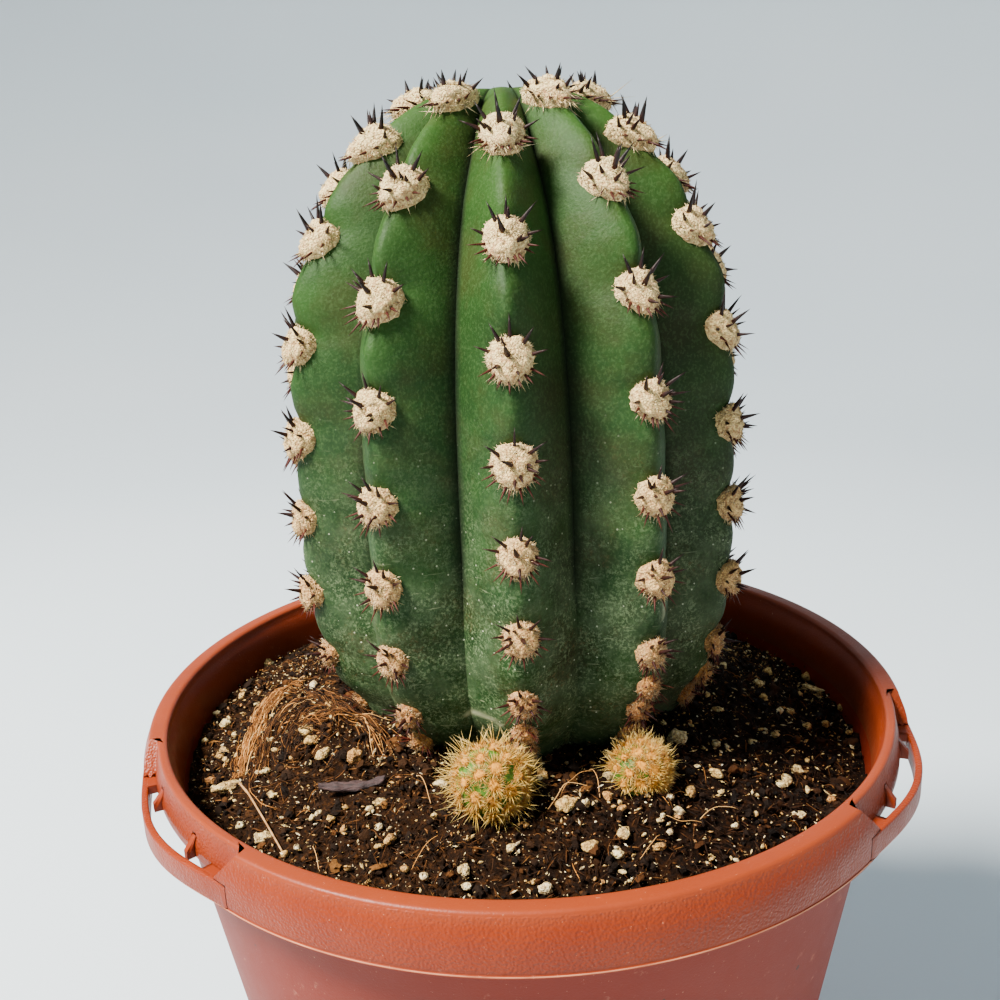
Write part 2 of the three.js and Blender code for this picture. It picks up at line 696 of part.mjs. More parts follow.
// The matted middle of the clump: a low ridge along the arc that the fibres lie on
function fibreRidge(clearance) {
  const steps = 8;
  const rings = [];
  const endAngle = 20 - THREE.MathUtils.radToDeg(1.5 * clearance / FIBRE_RING.radius);
  for (let step = 0; step <= steps; step += 1) {
    const share = step / steps;
    const angle = lerp(FIBRE_RING.from + endAngle, FIBRE_RING.to - endAngle, share);
    const halfWidth = lerp(1.6, 2.8, Math.sin(share * Math.PI)) + clearance;
    const top = lerp(0.8, 1.9, Math.sin(share * Math.PI)) + clearance;
    const middle = fibrePoint(angle, FIBRE_RING.radius, 0);
    const outward = new THREE.Vector3(Math.cos(radians(angle)), Math.sin(radians(angle)), 0);
    const corners = [
      [-halfWidth, 0], [0, -0.9 - clearance], [halfWidth, 0],
      [halfWidth * 0.4, top], [-halfWidth * 0.4, top],
    ];
    rings.push(corners.map(([aside, up]) => (
      middle.clone().addScaledVector(outward, aside).addScaledVector(Z_AXIS, up)
    )));
  }
  return ringedSolid(rings);
}

// A thin four-sided rod along a smooth curve, grown by a clearance on its sides and ends
function rod(points, thickness, clearance) {
  const radius = thickness + 2 * clearance;
  const outline = new THREE.Shape();
  outline.moveTo(radius, 0);
  outline.lineTo(0, radius);
  outline.lineTo(-radius, 0);
  outline.lineTo(0, -radius);
  outline.closePath();
  const ends = points.map((point) => point.clone());
  const last = ends.length - 1;
  for (const [end, inner] of [[0, 1], [last, last - 1]]) {
    const outward = points[end].clone().sub(points[inner]).normalize();
    ends[end].addScaledVector(outward, 2 * clearance);
  }
  const extrudePath = new THREE.CatmullRomCurve3(ends);
  return solid(new THREE.ExtrudeGeometry(outline, { steps: points.length, extrudePath }));
}

// Each fibre leaves the ridge, arches over it and ends loose beside it
function buildFibres(clearance) {
  const random = seededRandom(3);
  const pieces = [fibreRidge(clearance)];
  for (let fibre = 0; fibre < FIBRES; fibre += 1) {
    const start = lerp(FIBRE_RING.from + 25, FIBRE_RING.to - 45, fibre / (FIBRES - 1));
    const sweep = lerp(FIBRE_SWEEP_MIN, FIBRE_SWEEP_MAX, random()) * (fibre % 2 ? 1 : -1);
    const outward = lerp(1.5, 4.5, random()) * (fibre % 3 === 0 ? -1 : 1);
    const points = [];
    for (let step = 0; step <= 4; step += 1) {
      const share = step / 4;
      const lift = 0.6 + FIBRE_ARCH * Math.sin(share * Math.PI * 0.8);
      const reach = FIBRE_RING.radius + outward * share;
      const angle = Math.max(start + sweep * share, FIBRE_RING.from);
      points.push(fibrePoint(angle, reach, lift));
    }
    pieces.push(rod(points, FIBRE_RADIUS, clearance));
  }
  return largestBody(fuse(pieces));
}

function buildBark(clearance) {
  const { length, width, thickness } = BARK;
  const half = thickness / 2 + clearance;
  const rings = [];
  for (const share of [-1, -0.5, 0, 0.5, 1]) {
    const along = share * (length / 2 + clearance);
    const halfWidth = width * 0.5 * (1 - 0.35 * share * share) + clearance;
    const bow = 0.8 * share * share;
    rings.push([
      new THREE.Vector3(along, -halfWidth, bow - half),
      new THREE.Vector3(along, halfWidth, bow - half),
      new THREE.Vector3(along, halfWidth, bow + half * 0.6),
      new THREE.Vector3(along, 0, bow + half),
      new THREE.Vector3(along, -halfWidth, bow + half * 0.6),
    ]);
  }
  const turn = new THREE.Matrix4().makeRotationZ(radians(BARK.turn));
  const lie = new THREE.Matrix4().makeTranslation(BARK.x, BARK.y, soilHeight(BARK.x, BARK.y) + 0.2);
  rings.flat().forEach((point) => point.applyMatrix4(turn).applyMatrix4(lie));
  return ringedSolid(rings);
}

function buildStraw(clearance) {
  const lift = 0.5;
  const points = STRAW_ROUTE.map(([x, y]) => new THREE.Vector3(x, y, soilHeight(x, y) + lift));
  return rod(points, STRAW_RADIUS, clearance);
}

// What stands or lies in the soil has its own hole or hollow in it
function buildSoil() {
  const seated = [
    ribbedBody(STEM_SEAT_GAP),
    ...OFFSETS.map((offset) => offsetBall(offset, SEAT_GAP)),
    buildFibres(SEAT_GAP),
    buildBark(SEAT_GAP),
    buildStraw(SEAT_GAP),
  ];
  return largestBody(soilMound().add(perlite()).subtract(fuse(seated)));
}

const plant = new THREE.Group();
plant.add(meshOf('pot', buildPot(), FINISHES.pot));
plant.add(meshOf('soil', buildSoil(), FINISHES.soil));
plant.add(meshOf('stem', buildStem(), FINISHES.stem));
OFFSETS.forEach((offset, number) => {
  plant.add(meshOf(offset.name, buildOffset(offset, 20 + number), FINISHES.offset));
});
plant.add(meshOf('root_fibres', buildFibres(0), FINISHES.fibre));
plant.add(meshOf('bark_strip', buildBark(0), FINISHES.bark));
plant.add(meshOf('straw', buildStraw(0), FINISHES.straw));

export default plant;
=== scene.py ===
import math

import bmesh
import bpy
import numpy as np
from mathutils import Matrix, Vector, noise


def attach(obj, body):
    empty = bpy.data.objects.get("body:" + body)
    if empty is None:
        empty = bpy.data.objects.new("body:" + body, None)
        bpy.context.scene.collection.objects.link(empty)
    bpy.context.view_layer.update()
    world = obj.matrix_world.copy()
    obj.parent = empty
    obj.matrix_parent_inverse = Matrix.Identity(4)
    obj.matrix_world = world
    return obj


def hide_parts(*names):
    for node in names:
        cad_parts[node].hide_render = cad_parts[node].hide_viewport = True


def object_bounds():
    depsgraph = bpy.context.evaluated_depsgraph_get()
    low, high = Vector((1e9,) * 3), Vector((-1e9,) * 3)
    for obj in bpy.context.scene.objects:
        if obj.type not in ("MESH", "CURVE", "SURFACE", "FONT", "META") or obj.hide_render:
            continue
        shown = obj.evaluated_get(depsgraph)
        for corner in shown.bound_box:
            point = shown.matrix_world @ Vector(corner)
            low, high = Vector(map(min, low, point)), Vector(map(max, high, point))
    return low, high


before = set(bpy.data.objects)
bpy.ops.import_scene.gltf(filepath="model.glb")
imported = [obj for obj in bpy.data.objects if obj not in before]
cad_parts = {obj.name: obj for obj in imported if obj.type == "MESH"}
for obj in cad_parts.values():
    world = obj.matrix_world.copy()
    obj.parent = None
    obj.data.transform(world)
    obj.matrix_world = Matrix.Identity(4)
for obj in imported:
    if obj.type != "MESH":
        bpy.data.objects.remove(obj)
cad_low, cad_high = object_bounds()

# Sizes are in millimetres in the part's own frame: the origin is the centre of the pot's
# underside, +Z is up and -Y is the front. add_piece turns them into metres.
MM = 0.001

# Camera, as the photograph was taken: place relative to the centre of the pot's lip
LIP = 130.0
CAMERA_FROM_LIP = (-3.337, -214.627, 105.133)
CAMERA_PITCH = math.radians(16.71)
CAMERA_ROLL = math.radians(-2.41)
CAMERA_LENS = 38.99
SENSOR = 36.0
PHOTO = 1000

# Pot
LIP_INNER_RADIUS = 74.5
LIP_OUTER_RADIUS = 78.4
LIP_THICKNESS = 2.0
LIP_DEPTH_INSIDE = 3.0
LIP_EDGE = 0.9
BAND_RADIUS = 79.98
BAND_HEIGHT = 10.4
BAND_THICKNESS = 1.5
BAND_SHOULDER = 6.6
FLASH = 0.35
BODY_RADIUS_AT_LIP = 75.7
BODY_TAPER = 0.165
WALL = 1.5
FLOOR = 2.5
FOOT_BEVEL = 1.5
DRAIN_HOLES = 6
DRAIN_HOLE_RADIUS = 2.6
DRAIN_CIRCLE_RADIUS = 34.0
HANGER_AZIMUTHS = (-147, -27, 93)
RECESS_HALF_ARC = 16.0
RECESS_DEPTH = 5.6
RECESS_TOP_RADIUS = 76.5
RECESS_FLOOR_RADIUS = 77.6
RECESS_FLOOR = 1.6
RECESS_END_SLANT = 0.12
SLOT_HALF_ARC = 11.5
STRAP_HALF_ARC = 18.0
STRAP_BULGE = 2.0
STRAP_THICKNESS = 1.4
TOOTH_OFFSET = 6.8
TOOTH_REACH = 1.5
TOOTH_WIDTH = 1.1
STRAP_SINK = 0.3
BAND_BOTTOM = LIP - BAND_HEIGHT
RECESS_SHELF = LIP - RECESS_DEPTH
RECESS_UNDERSIDE = RECESS_SHELF - RECESS_FLOOR
# Points of the rim's outline under the band, and on the flash line at its lower edge
UNDERSIDE_POINTS = 5
FLASH_POINTS = 4

# Soil
SOIL_DEPTH_AT_WALL = 12.5
MOUND_HEIGHT = 13.0
MOUND_INNER_RADIUS = 38.0
MOUND_OUTER_RADIUS = 73.0
SOIL_FALL_TO_FRONT = 0.03
SOIL_FALL_TO_RIGHT = 0.02
SOIL_FALL_FROM_RADIUS = 30.0
BANK_X, BANK_Y, BANK_HEIGHT, BANK_REACH = 22.0, -45.0, 2.2, 8.0
# Place, radius and height of the mound under the fibres
ROOT_BALL = (-44.0, -18.0, 21.0, 4.5)
CLUMP_HEIGHT = 0.45
SOIL_EDGE_RADIUS = 71.9
SOIL_GRID = 178
BED_SINK = 0.6
LOOSE_FROM_RADIUS = 26
SHARD_ROUGHNESS = 0.2
CRUMBS = 4700
CLODS = 420
SPLINTERS = 12000
GRIT = 4200
SOIL_HAIRS = 900
PERLITE_GRAINS = 190

# Stem
RIBS = 11
FIRST_RIB_AZIMUTH = -91.0
RIB_SPACING = 360.0 / RIBS
SIDES_PER_RIB = 26
STEM_ROWS = 190
GROOVE_DEPTH = 9.0
GROOVE_SHARE_OF_RADIUS = 0.34
CREST_ROUNDING = 0.2
LOBE = 1.2
LOBE_EXTRA = 1.8
LOBE_EXTRA_AT = 86.0
LOBE_EXTRA_REACH = 34.0
NOTCH = 0.6
NOTCH_ABOVE_AREOLE = 0.12
LOBE_SAG = 1.31
LOBE_FADE_FROM = 120.0
LOBE_FADE = 12.0
LOBE_SPREAD = 1.5
# The grooves grow shallow towards the foot: share of the depth left there, and heights
GROOVE_LEFT_AT_FOOT = 0.5
GROOVE_FULL_FROM = 40.0
GROOVE_LEAST_AT = 2.0
# A rib's crest from the root up, as radius and height above the lip
CREST_OUTLINE = (
    (12, -17), (22, -12), (30, -5), (36, 3), (41, 13), (44, 27), (44.4, 44), (43.9, 60),
    (42.2, 76), (39, 89), (34, 100.5), (27, 110), (19, 116.5), (10, 120), (1.5, 119),
)
AREOLE_HEIGHTS = (
    117.6, 110.8, 103.2, 94.8, 85.6, 76.5, 68, 59.5, 51.5, 44, 36.5, 29, 22, 15.5, 9.5,
)
STEM_FOOT_RADIUS = 36.5
ROOT_END, APEX = -17.0, 118.8
# Old corky marks, and the front rib's flank that is painted darker as shade, in degrees round the stem
SCAR_ARC, SCAR_LINE, SHADED_FLANK = -103, -55.5, -79
# The topmost areole of each rib, as its number in AREOLE_HEIGHTS
FIRST_AREOLE_OF_RIB = (1, 0, 1, 0, 1, 0, 1, 0, 0, 1, 0)
WOOL_LENGTH = 3.85
WOOL_WIDTH = 4.25
WOOL_THICKNESS = 3.1
WOOL_STRANDS = 380
SPINE_LENGTH = 5.8
SPINE_RADIUS = 0.6
DRY_SPINES = 14
# Cushions smaller than DRY_SIZE are dried up
DRY_SIZE = 0.7
FOOT_TUFT_SIZE = 0.69
# Small dried tufts at the foot of some ribs: rib and height above the lip
FOOT_TUFTS = ((0, 9.0), (0, 4.0), (0, 0.6), (10, 2.8), (1, 15.0), (1, 3.6), (9, 3.4), (2, 8.2), (2, 3.0))

# Offsets: place, height of the centre above the lip, radius, direction of the growing tip and
# length of the longest needles
OFFSETS = (
    ("offset_front", -7.0, -44.2, 1.7, 6.6, (0.3, -0.85, 0.42), 5.2),
    ("offset_right", 20.2, -38.9, -0.4, 5.3, (0.55, -0.7, 0.46), 4.0),
)
TUFTS = 52
OFFSET_SEED = 50

# Litter
# Place, turn in degrees, length, width and thickness of the bark strip
BARK = (-33.0, -36.8, 6.0, 12.4, 3.0, 1.5)
STRAW_ROUTE = ((-57, -25.5), (-54.5, -29), (-50, -37), (-45.5, -44.5))
STRAW_RADIUS = 0.36
SHORTEST_FIBRE = 1.5
BALL_FIBRES = 230

# Pale grains as the photograph shows them: pixel, length and width in pixels, turn in
# degrees, and tone from white at 0 to tan at 1
GRAINS_SEEN = (
    (267, 665, 16, 13, 80, .35), (243, 697, 9, 9, 0, .7), (217, 714, 7, 6, 0, .3),
    (226, 725, 12, 11, 0, .35), (236, 736, 9, 8, 0, .5), (251, 733, 9, 8, 0, .75),
    (307, 732, 15, 12, 30, .6), (311, 742, 16, 10, 25, .65), (324, 755, 21, 11, 60, .55),
    (309, 764, 8, 7, 0, .3), (292, 759, 6, 6, 0, .7), (266, 772, 11, 8, 20, .45),
    (354, 757, 19, 14, 70, .85), (373, 741, 10, 6, 80, .9), (220, 757, 10, 9, 0, .7),
    (211, 783, 12, 11, 0, .95), (228, 788, 28, 12, 24, .5), (264, 839, 19, 12, 8, .4),
    (240, 827, 10, 8, 0, .3), (285, 855, 9, 8, 0, .7), (297, 848, 9, 7, 80, .2),
    (313, 818, 10, 6, 70, .35), (319, 814, 10, 6, 60, .3), (331, 820, 10, 8, 0, .65),
    (344, 830, 12, 8, 80, .85), (370, 810, 9, 8, 0, .4), (381, 803, 15, 9, 25, .5),
    (379, 828, 10, 8, 80, .15), (390, 829, 8, 4, 60, .3), (397, 833, 7, 4, 60, .3),
    (379, 847, 10, 6, 10, .6), (347, 869, 8, 6, 0, .75), (405, 870, 9, 9, 0, .8),
    (424, 878, 10, 9, 0, .15), (434, 817, 7, 7, 0, .6), (345, 808, 7, 6, 0, .7),
    (281, 819, 8, 4, 60, .3), (281, 649, 11, 9, 60, .4), (205, 742, 8, 7, 0, .5),
    (677, 740, 20, 19, 0, .25), (566, 807, 21, 17, 10, .65), (595, 804, 10, 6, 60, .35),
    (590, 848, 15, 13, 0, .6), (624, 835, 18, 12, 75, .5), (659, 848, 14, 10, 10, .8),
    (670, 798, 9, 8, 0, .15), (678, 813, 12, 11, 45, .2), (670, 833, 9, 7, 60, .2),
    (511, 849, 12, 9, 60, .45), (465, 872, 19, 9, 85, .3), (467, 888, 11, 9, 0, .2),
    (546, 890, 17, 13, 0, .2), (534, 882, 8, 6, 60, .6), (523, 826, 12, 8, 0, .85),
    (620, 803, 8, 5, 80, .5), (647, 795, 9, 4, 70, .2), (663, 816, 8, 5, 75, .25),
    (723, 667, 8, 8, 0, .4), (767, 673, 11, 10, 0, .6), (806, 678, 10, 9, 0, .7),
    (809, 691, 27, 10, -30, .45), (757, 684, 12, 9, -45, .45), (763, 698, 14, 7, -60, .65),
    (790, 712, 9, 8, 0, .55), (842, 709, 12, 9, -70, .6), (825, 725, 9, 8, 0, .7),
    (807, 727, 10, 8, 0, .6), (775, 735, 9, 8, 0, .5), (752, 743, 11, 7, -30, .3),
    (716, 744, 10, 8, -20, .3), (727, 747, 9, 4, -80, .3), (796, 771, 15, 10, -35, .45),
    (781, 785, 12, 8, -50, .35), (721, 793, 7, 6, 0, .4), (735, 827, 8, 7, 0, .2),
    (798, 816, 15, 9, -10, .3), (711, 859, 10, 6, 80, .6), (807, 761, 8, 5, 80, .6),
    (756, 815, 8, 6, 70, .5),
)
# Larger brown chips in the soil, listed in the same way
CHIPS_SEEN = (
    (851, 743, 15, 11, 10, .72), (744, 770, 14, 9, 20, .8), (690, 683, 17, 8, -30, .85),
    (678, 690, 12, 7, 60, .8), (378, 869, 18, 8, 25, .85), (585, 790, 15, 8, 50, .9),
    (572, 780, 18, 6, 30, .85), (420, 762, 20, 6, 80, .5), (300, 880, 12, 8, 10, .7),
    (640, 880, 13, 8, 70, .75), (700, 846, 14, 7, 40, .7), (815, 792, 13, 8, -20, .6),
    (349, 696, 18, 9, 20, .75), (330, 684, 14, 8, 0, .8), (236, 660, 12, 8, 30, .6),
)
# Routes of dry fibres over the root ball, as pixels of the photograph
FIBRES_SEEN = (
    ((243, 778), (247, 757), (254, 733), (264, 712), (280, 696), (303, 687)),
    ((262, 776), (264, 754), (270, 735), (281, 718), (296, 705), (318, 700)),
    ((296, 690), (318, 696), (338, 706), (358, 720), (384, 734)),
    ((300, 724), (318, 717), (340, 714), (362, 722), (378, 738), (386, 760)),
    ((286, 770), (290, 750), (299, 735), (314, 724), (336, 721)),
)
# The same bundles' numbers of fibres, spreads in mm and usual tones
FIBRE_BUNDLES = ((260, 1.5, 0.72), (110, 1.4, 0.42), (90, 1.2, 0.34), (60, 1.0, 0.56), (60, 1.6, 0.32))
LONG_HAIRS_SEEN = (
    ((412, 872), (424, 856), (438, 838)), ((418, 778), (426, 792), (431, 806)),
    ((313, 849), (317, 862), (319, 872)), ((560, 800), (576, 782), (592, 774)),
    ((548, 812), (566, 790), (590, 790)), ((590, 772), (598, 786), (600, 800)),
    ((345, 717), (370, 721), (392, 723)), ((700, 822), (716, 814), (738, 812)),
    ((664, 818), (684, 830), (704, 826)), ((640, 862), (654, 850), (660, 838)),
)

# The middle of the plant in metres, which the lights look at
MIDDLE = Vector((0.0, 0.0, 0.17))
GOLDEN_ANGLE = math.pi * (3 - math.sqrt(5))


def as_light(colour):
    """A colour from 0 to 255, or one grey share from 0 to 1, as linear light."""
    if isinstance(colour, float):
        return (colour, colour, colour, 1.0)
    shares = [value / 255 for value in colour]
    return (*(v / 12.92 if v <= 0.04045 else ((v + 0.055) / 1.055) ** 2.4 for v in shares), 1.0)


def smooth(value):
    x = np.clip(value, 0, 1)
    return x * x * (3 - 2 * x)


def unit(vectors):
    length = np.linalg.norm(vectors, axis=-1, keepdims=True)
    return vectors / np.maximum(length, 1e-9)


def noise_at(points, scale, seed=0.0):
    """Smooth noise from about -1 to 1 at each point, with features of about scale mm."""
    shift = Vector((seed * 17.3, seed * 5.1, seed * 9.7))
    return np.array([noise.noise(Vector(p) / scale + shift) for p in points.tolist()])


# Camera


def camera_frame():
    """The camera's place, and its directions to the right, up and ahead."""
    right = Vector((1, 0, 0))
    ahead = Vector((0, math.cos(CAMERA_PITCH), -math.sin(CAMERA_PITCH)))
    up = Vector((0, math.sin(CAMERA_PITCH), math.cos(CAMERA_PITCH)))
    across = right * math.cos(CAMERA_ROLL) + up * math.sin(CAMERA_ROLL)
    above = up * math.cos(CAMERA_ROLL) - right * math.sin(CAMERA_ROLL)
    return Vector(CAMERA_FROM_LIP) + Vector((0, 0, LIP)), across, above, ahead


def new_object(name, data):
    made = bpy.data.objects.new(name, data)
    bpy.context.scene.collection.objects.link(made)
    return made


def add_camera():
    data = bpy.data.cameras.new("camera")
    data.lens = CAMERA_LENS
    camera = new_object("camera", data)
    place, across, above, ahead = camera_frame()
    turn = Matrix((across, above, -ahead)).transposed()
    camera.matrix_world = Matrix.Translation(place * MM) @ turn.to_4x4()
    bpy.context.scene.camera = camera


def seen_on_soil(px, py):
    """The point of the soil that a pixel of the photograph shows, and millimetres per pixel."""
    place, across, above, ahead = (np.array(v) for v in camera_frame())
    focus = CAMERA_LENS / SENSOR * PHOTO
    way = ahead + across * (px - PHOTO / 2) / focus + above * (PHOTO / 2 - py) / focus
    near, far, count = 60, 400, 3400
    steps = np.linspace(near, far, count)[:, None]
    line = place + steps * way
    first = int(np.argmax(line[:, 2] < soil_height(line[:, 0], line[:, 1])))
    return line[first], float(steps[first, 0]) / focus


# Meshes


def add_piece(name, points, faces, material, slot, node=None, values=None, smooth_angle=180):
    """A piece that rides on the root: points in mm, faces, and named values per point."""
    mesh = bpy.data.meshes.new(name)
    mesh.from_pydata((np.asarray(points) * MM).tolist(), [], faces)
    for key, numbers in (values or {}).items():
        layer = mesh.attributes.new(key, "FLOAT", "POINT")
        layer.data.foreach_set("value", np.asarray(numbers, dtype=np.float32))
    mesh.update()
    mesh.polygons.foreach_set("use_smooth", [True] * len(mesh.polygons))
    if smooth_angle < 180:
        mesh.set_sharp_from_angle(angle=math.radians(smooth_angle))
    mesh.materials.append(material)
    piece = new_object(name, mesh)
    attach(piece, "root")
    if node:
        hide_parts(node)
    return piece


def ring_faces(rings, sides, start=0):
    """Quads between stacked closed rings of points."""
    faces = []
    for ring in range(rings - 1):
        low = start + ring * sides
        for side in range(sides):
            after = (side + 1) % sides
            faces.append((low + side, low + after, low + sides + after, low + sides + side))
    return faces


def capped(rings, sides, start=0):
    """The same, with a face over each end."""
    last = start + (rings - 1) * sides
    ends = [tuple(reversed(range(start, start + sides))), tuple(range(last, last + sides))]
    return ring_faces(rings, sides, start) + ends


def repeated(pattern, count, size):
    """The faces of so many copies of a pattern that has so many points."""
    return [tuple(corner + item * size for corner in face) for item in range(count) for face in pattern]


def around(sides):
    """Angles of evenly spaced points all round."""
    return [side / sides * 2 * math.pi for side in range(sides)]


def polar(radius, angle, height=0.0):
    return radius * math.cos(angle), radius * math.sin(angle), height


def frames_for(directions):
    """Two directions at right angles to each given one."""
    helper = np.where(np.abs(directions[:, 2:3]) < 0.9, [[0, 0, 1.0]], [[1.0, 0, 0]])
    first = unit(np.cross(directions, helper))
    return first, np.cross(directions, first)


def cones(feet, directions, lengths, radii, sides, steps=1, bend=None):
    """Many tapering spines as one mesh. Returns points, faces and each point's share of height."""
    count = len(feet)
    directions = unit(directions)
    first, second = frames_for(directions)
    points = np.zeros((count, steps * sides + 1, 3))
    along = np.zeros((count, steps * sides + 1))
    bend = np.zeros((count, 3)) if bend is None else bend
    for step in range(steps):
        share = step / steps
        middle = feet + directions * (lengths * share)[:, None] + bend * share ** 2
        radius = radii * (1 - share) ** 0.8
        for side, angle in enumerate(around(sides)):
            aside = first * math.cos(angle) + second * math.sin(angle)
            points[:, step * sides + side] = middle + aside * radius[:, None]
            along[:, step * sides + side] = share
    points[:, -1] = feet + directions * lengths[:, None] + bend
    along[:, -1] = 1
    pattern = ring_faces(steps, sides)
    last = (steps - 1) * sides
    pattern += [(last + s, last + (s + 1) % sides, steps * sides) for s in range(sides)]
    pattern.append(tuple(reversed(range(sides))))
    faces = repeated(pattern, count, steps * sides + 1)
    return points.reshape(-1, 3), faces, along.reshape(-1)


def tube(route, radii, sides):
    """A closed tube along a list of points, as points and faces."""
    route = np.asarray(route, dtype=float)
    tangents = unit(np.gradient(route, axis=0))
    first, second = frames_for(tangents)
    for step in range(1, len(route)):
        carried = first[step - 1] - tangents[step] * np.dot(first[step - 1], tangents[step])
        first[step] = carried / max(np.linalg.norm(carried), 1e-9)
        second[step] = np.cross(tangents[step], first[step])
    points = []
    for middle, a, b, radius in zip(route, first, second, radii):
        points += [middle + (a * math.cos(t) + b * math.sin(t)) * radius for t in around(sides)]
    return np.array(points), capped(len(route), sides)


class Heap:
    """Collects many small meshes into one."""

    def __init__(self):
        self.points, self.faces, self.values, self.size = [], [], {}, 0

    def add(self, points, faces, **values):
        self.points.append(points)
        self.faces += [tuple(corner + self.size for corner in face) for face in faces]
        self.size += len(points)
        for key, number in values.items():
            spread = np.broadcast_to(np.asarray(number, dtype=float), (len(points),))
            self.values.setdefault(key, []).append(spread)

    def piece(self, name, material, slot, **more):
        values = {key: np.concatenate(parts) for key, parts in self.values.items()}
        return add_piece(name, np.concatenate(self.points), self.faces, material, slot,
                         values=values, **more)


def ball_template(level):
    """Points and triangles of a unit icosphere."""
    ball = bmesh.new()
    bmesh.ops.create_icosphere(ball, subdivisions=level, radius=1)
    points = np.array([vertex.co[:] for vertex in ball.verts])
    faces = [tuple(vertex.index for vertex in face.verts) for face in ball.faces]
    ball.free()
    return points, faces


def in_disc(rng, count):
    """Random points in a unit disc: how far out each is, and its two coordinates."""
    reach = np.sqrt(rng.uniform(0, 1, count))
    turn = rng.uniform(0, 2 * math.pi, count)
    return reach, reach * np.cos(turn), reach * np.sin(turn)


def turns(rng, count, lying=False):
    """Random turns as matrices. Lying ones turn fully about the upright and tip a little."""
    turn = rng.normal(size=(count, 4))
    if lying:
        yaw = rng.uniform(0, math.pi, count)
        tips = rng.normal(0, 0.18, count), rng.normal(0, 0.18, count)
        turn = np.stack([np.cos(yaw), *tips, np.sin(yaw)], axis=1)
    turn /= np.linalg.norm(turn, axis=1, keepdims=True)
    w, x, y, z = turn.T
    return np.stack([
        np.stack([1 - 2 * (y * y + z * z), 2 * (x * y - z * w), 2 * (x * z + y * w)], axis=1),
        np.stack([2 * (x * y + z * w), 1 - 2 * (x * x + z * z), 2 * (y * z - x * w)], axis=1),
        np.stack([2 * (x * z - y * w), 2 * (y * z + x * w), 1 - 2 * (x * x + y * y)], axis=1),
    ], axis=1)


def copies(template, pattern, places, stretch, rng, roughness, matrix):
    """Many copies of a template as one mesh, each stretched, roughened, turned and placed."""
    count, corners = len(places), len(template)
    shape = template[None] * (1 + roughness * rng.uniform(-1, 1, (count, corners, 1)))
    shape = shape * stretch[:, None]
    points = np.einsum("nij,nvj->nvi", matrix, shape) + places[:, None]
    return points.reshape(-1, 3), repeated(pattern, count, corners), corners


def lumps(places, sizes, rng, level, roughness, flatness):
    """Many rough grains as one mesh, each turned and squashed its own way."""
    template, pattern = ball_template(level)
    count = len(places)
    stretch = sizes[:, None] * np.stack([
        rng.uniform(0.75, 1.35, count), rng.uniform(0.7, 1.15, count), rng.uniform(flatness, 1.0, count),
    ], axis=1)
    return copies(template, pattern, places, stretch, rng, roughness, turns(rng, count))


SHARD = (np.array([(1, 0, 0), (-1, 0, 0), (0, 1, 0), (0, -1, 0), (0, 0, 1), (0, 0, -1.0)]),
         [(0, 2, 4), (2, 1, 4), (1, 3, 4), (3, 0, 4), (2, 0, 5), (1, 2, 5), (3, 1, 5), (0, 3, 5)])


def shards(places, stretch, rng):
    """Many sharp bits as one mesh, lying flat."""
    return copies(*SHARD, places, stretch, rng, SHARD_ROUGHNESS, turns(rng, len(places), True))


def rough_grain(level, stretch, turn, seed):
    """One lumpy grain with hollows and edges, turned about the upright."""
    template, faces = ball_template(level)
    swell = 0.42 * noise_at(template, 0.9, seed) + 0.3 * noise_at(template, 0.42, seed + 3)
    swell += 0.12 * noise_at(template, 0.2, seed + 5)
    points = template * (1 + swell)[:, None] * stretch
    c, sn = math.cos(turn), math.sin(turn)
    return points @ np.array([[c, sn, 0], [-sn, c, 0], [0, 0, 1.0]]), faces


# Materials


